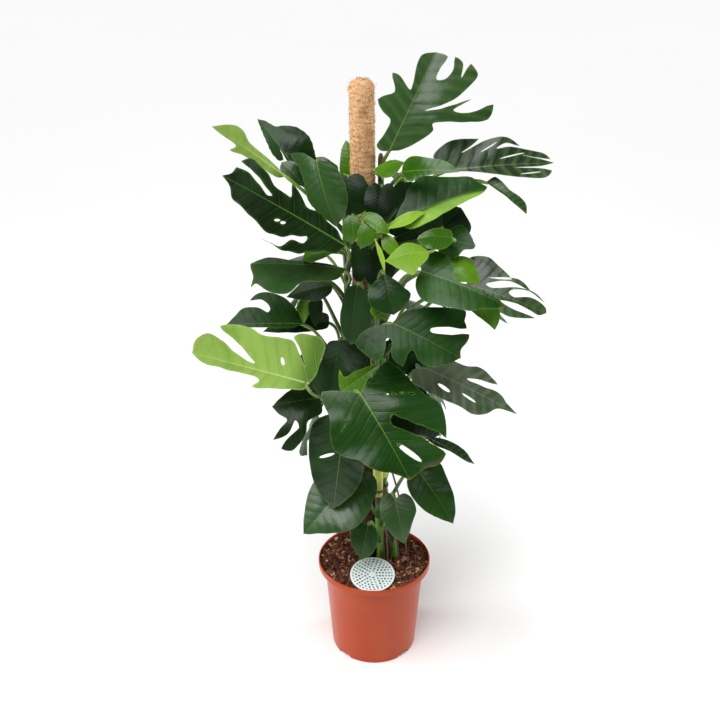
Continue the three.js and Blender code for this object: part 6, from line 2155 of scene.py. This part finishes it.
@dataclass
class Studio:
    """Plain pale floor, soft light, and the camera in front of and above the plant, in metres.

    A side light is where it stands, what it faces, its width and height, and its strength.
    """

    camera_at: Point = (-0.035, -2.6, 2.181)
    pitch: float = 28.0
    lens: float = 64.95
    sensor: float = 36.0
    floor_size: float = 60.0
    sky: float = 0.17
    backdrop: float = 0.9
    sun: float = 3.1
    sun_width: float = 48.0
    sun_turn: Point = (24.0, -10.0, 0.0)
    sides: dict[str, tuple[Point, Point, Flat, float]] = field(default_factory=lambda: {
        "left": ((-2.2, 0.1, 0.9), (0, 0, 0.4), (0.7, 1.6), 26),
        "right": ((2.1, 0.8, 0.9), (0, 0, 0.4), (0.6, 1.6), 24),
    })

    def light(self, name: str, at: Point, aim: Point, size: Flat, power: float) -> None:
        """Add one tall soft light at the side, which shows only by its light.

        Args:
            name: the light's name.
            at: where it stands.
            aim: the point it faces.
            size: its width and height.
            power: its strength in watts.
        """
        lamp = bpy.data.lights.new(name, "AREA")
        lamp.shape, lamp.energy = "RECTANGLE", power
        lamp.size, lamp.size_y = size
        item = show(name, lamp)
        item.location = at
        item.rotation_euler = (Vector(aim) - Vector(at)).to_track_quat("-Z", "Y").to_euler()
        item.visible_camera = False

    def build(self) -> None:
        """Build the floor, the lights and the camera."""
        half = self.floor_size / 2
        mesh = bpy.data.meshes.new("floor")
        edge = [(-half, -half, 0), (half, -half, 0), (half, half, 0), (-half, half, 0)]
        mesh.from_pydata(edge, [], [(0, 1, 2, 3)])
        mesh.materials.append(FloorFinish().material())
        show("floor", mesh)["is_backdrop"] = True
        world = bpy.data.worlds.new("studio")
        world.use_nodes = True
        world.node_tree.nodes.clear()
        graph = Graph(world.node_tree)
        dome, seen = (
            graph.add("ShaderNodeBackground", {"Color": (1, 1, 1, 1), "Strength": strength}).outputs[0]
            for strength in (self.sky, self.backdrop)
        )
        ray = graph.add("ShaderNodeLightPath").outputs["Is Camera Ray"]
        pick = graph.add("ShaderNodeMixShader", {0: ray, 1: dome, 2: seen})
        graph.add("ShaderNodeOutputWorld", {"Surface": pick.outputs[0]})
        bpy.context.scene.world = world
        sun = bpy.data.lights.new("overhead", "SUN")
        sun.energy, sun.angle = self.sun, math.radians(self.sun_width)
        show("overhead", sun).rotation_euler = tuple(math.radians(turn) for turn in self.sun_turn)
        for name, light in self.sides.items():
            self.light(name, *light)
        bpy.context.scene.view_settings.view_transform = "Standard"
        camera = bpy.data.cameras.new("camera")
        camera.lens, camera.sensor_width, camera.sensor_fit = self.lens, self.sensor, "HORIZONTAL"
        item = show("camera", camera)
        item.location = self.camera_at
        item.rotation_euler = (math.radians(90 - self.pitch), 0, 0)
        bpy.context.scene.camera = item


@dataclass
class Rod:
    """The rod inside the sleeve, which keeps its solid and gets a grained finish."""

    name: str = "pole_core"
    pale: Colour = (150, 112, 70)
    dark: Colour = (108, 76, 44)
    grains: float = 90.0
    stretch: Point = (1.0, 1.0, 0.08)
    depth: float = 0.0004
    rough: float = 0.75

    def dress(self, frame: dict) -> None:
        """Give the rod its material.

        Args:
            frame: the loaded frame.
        """
        s = Sketch("pole_rod")
        grain = s.noise(self.grains, 4.0, s.stretch(self.stretch))
        s.bump(grain, self.depth, 0.5)
        material = s.finish(s.blend(grain, self.dark, self.pale), self.rough)
        mesh = frame["nodes"][self.name].data
        mesh.materials.clear()
        mesh.materials.append(material)
        LOG.info("dressed %s", self.name)


def corners() -> list[list[float]]:
    """Lowest and highest corner of the shown object."""
    return [list(corner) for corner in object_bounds()]


def main() -> None:
    """Build the plant over its frame, piece by piece."""
    logging.basicConfig(level=logging.INFO, format="%(message)s")
    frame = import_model()
    Studio().build()
    pole = Pole()
    vines = VineBars(pole)
    pot = Pot()
    pot.build()
    PottingMix(pot).build()
    Label().build()
    Rod().dress(frame)
    pole.build()
    Ties(vines).build()
    Husks(vines).build()
    Foliage(vines).build()


if __name__ == "__main__":
    main()
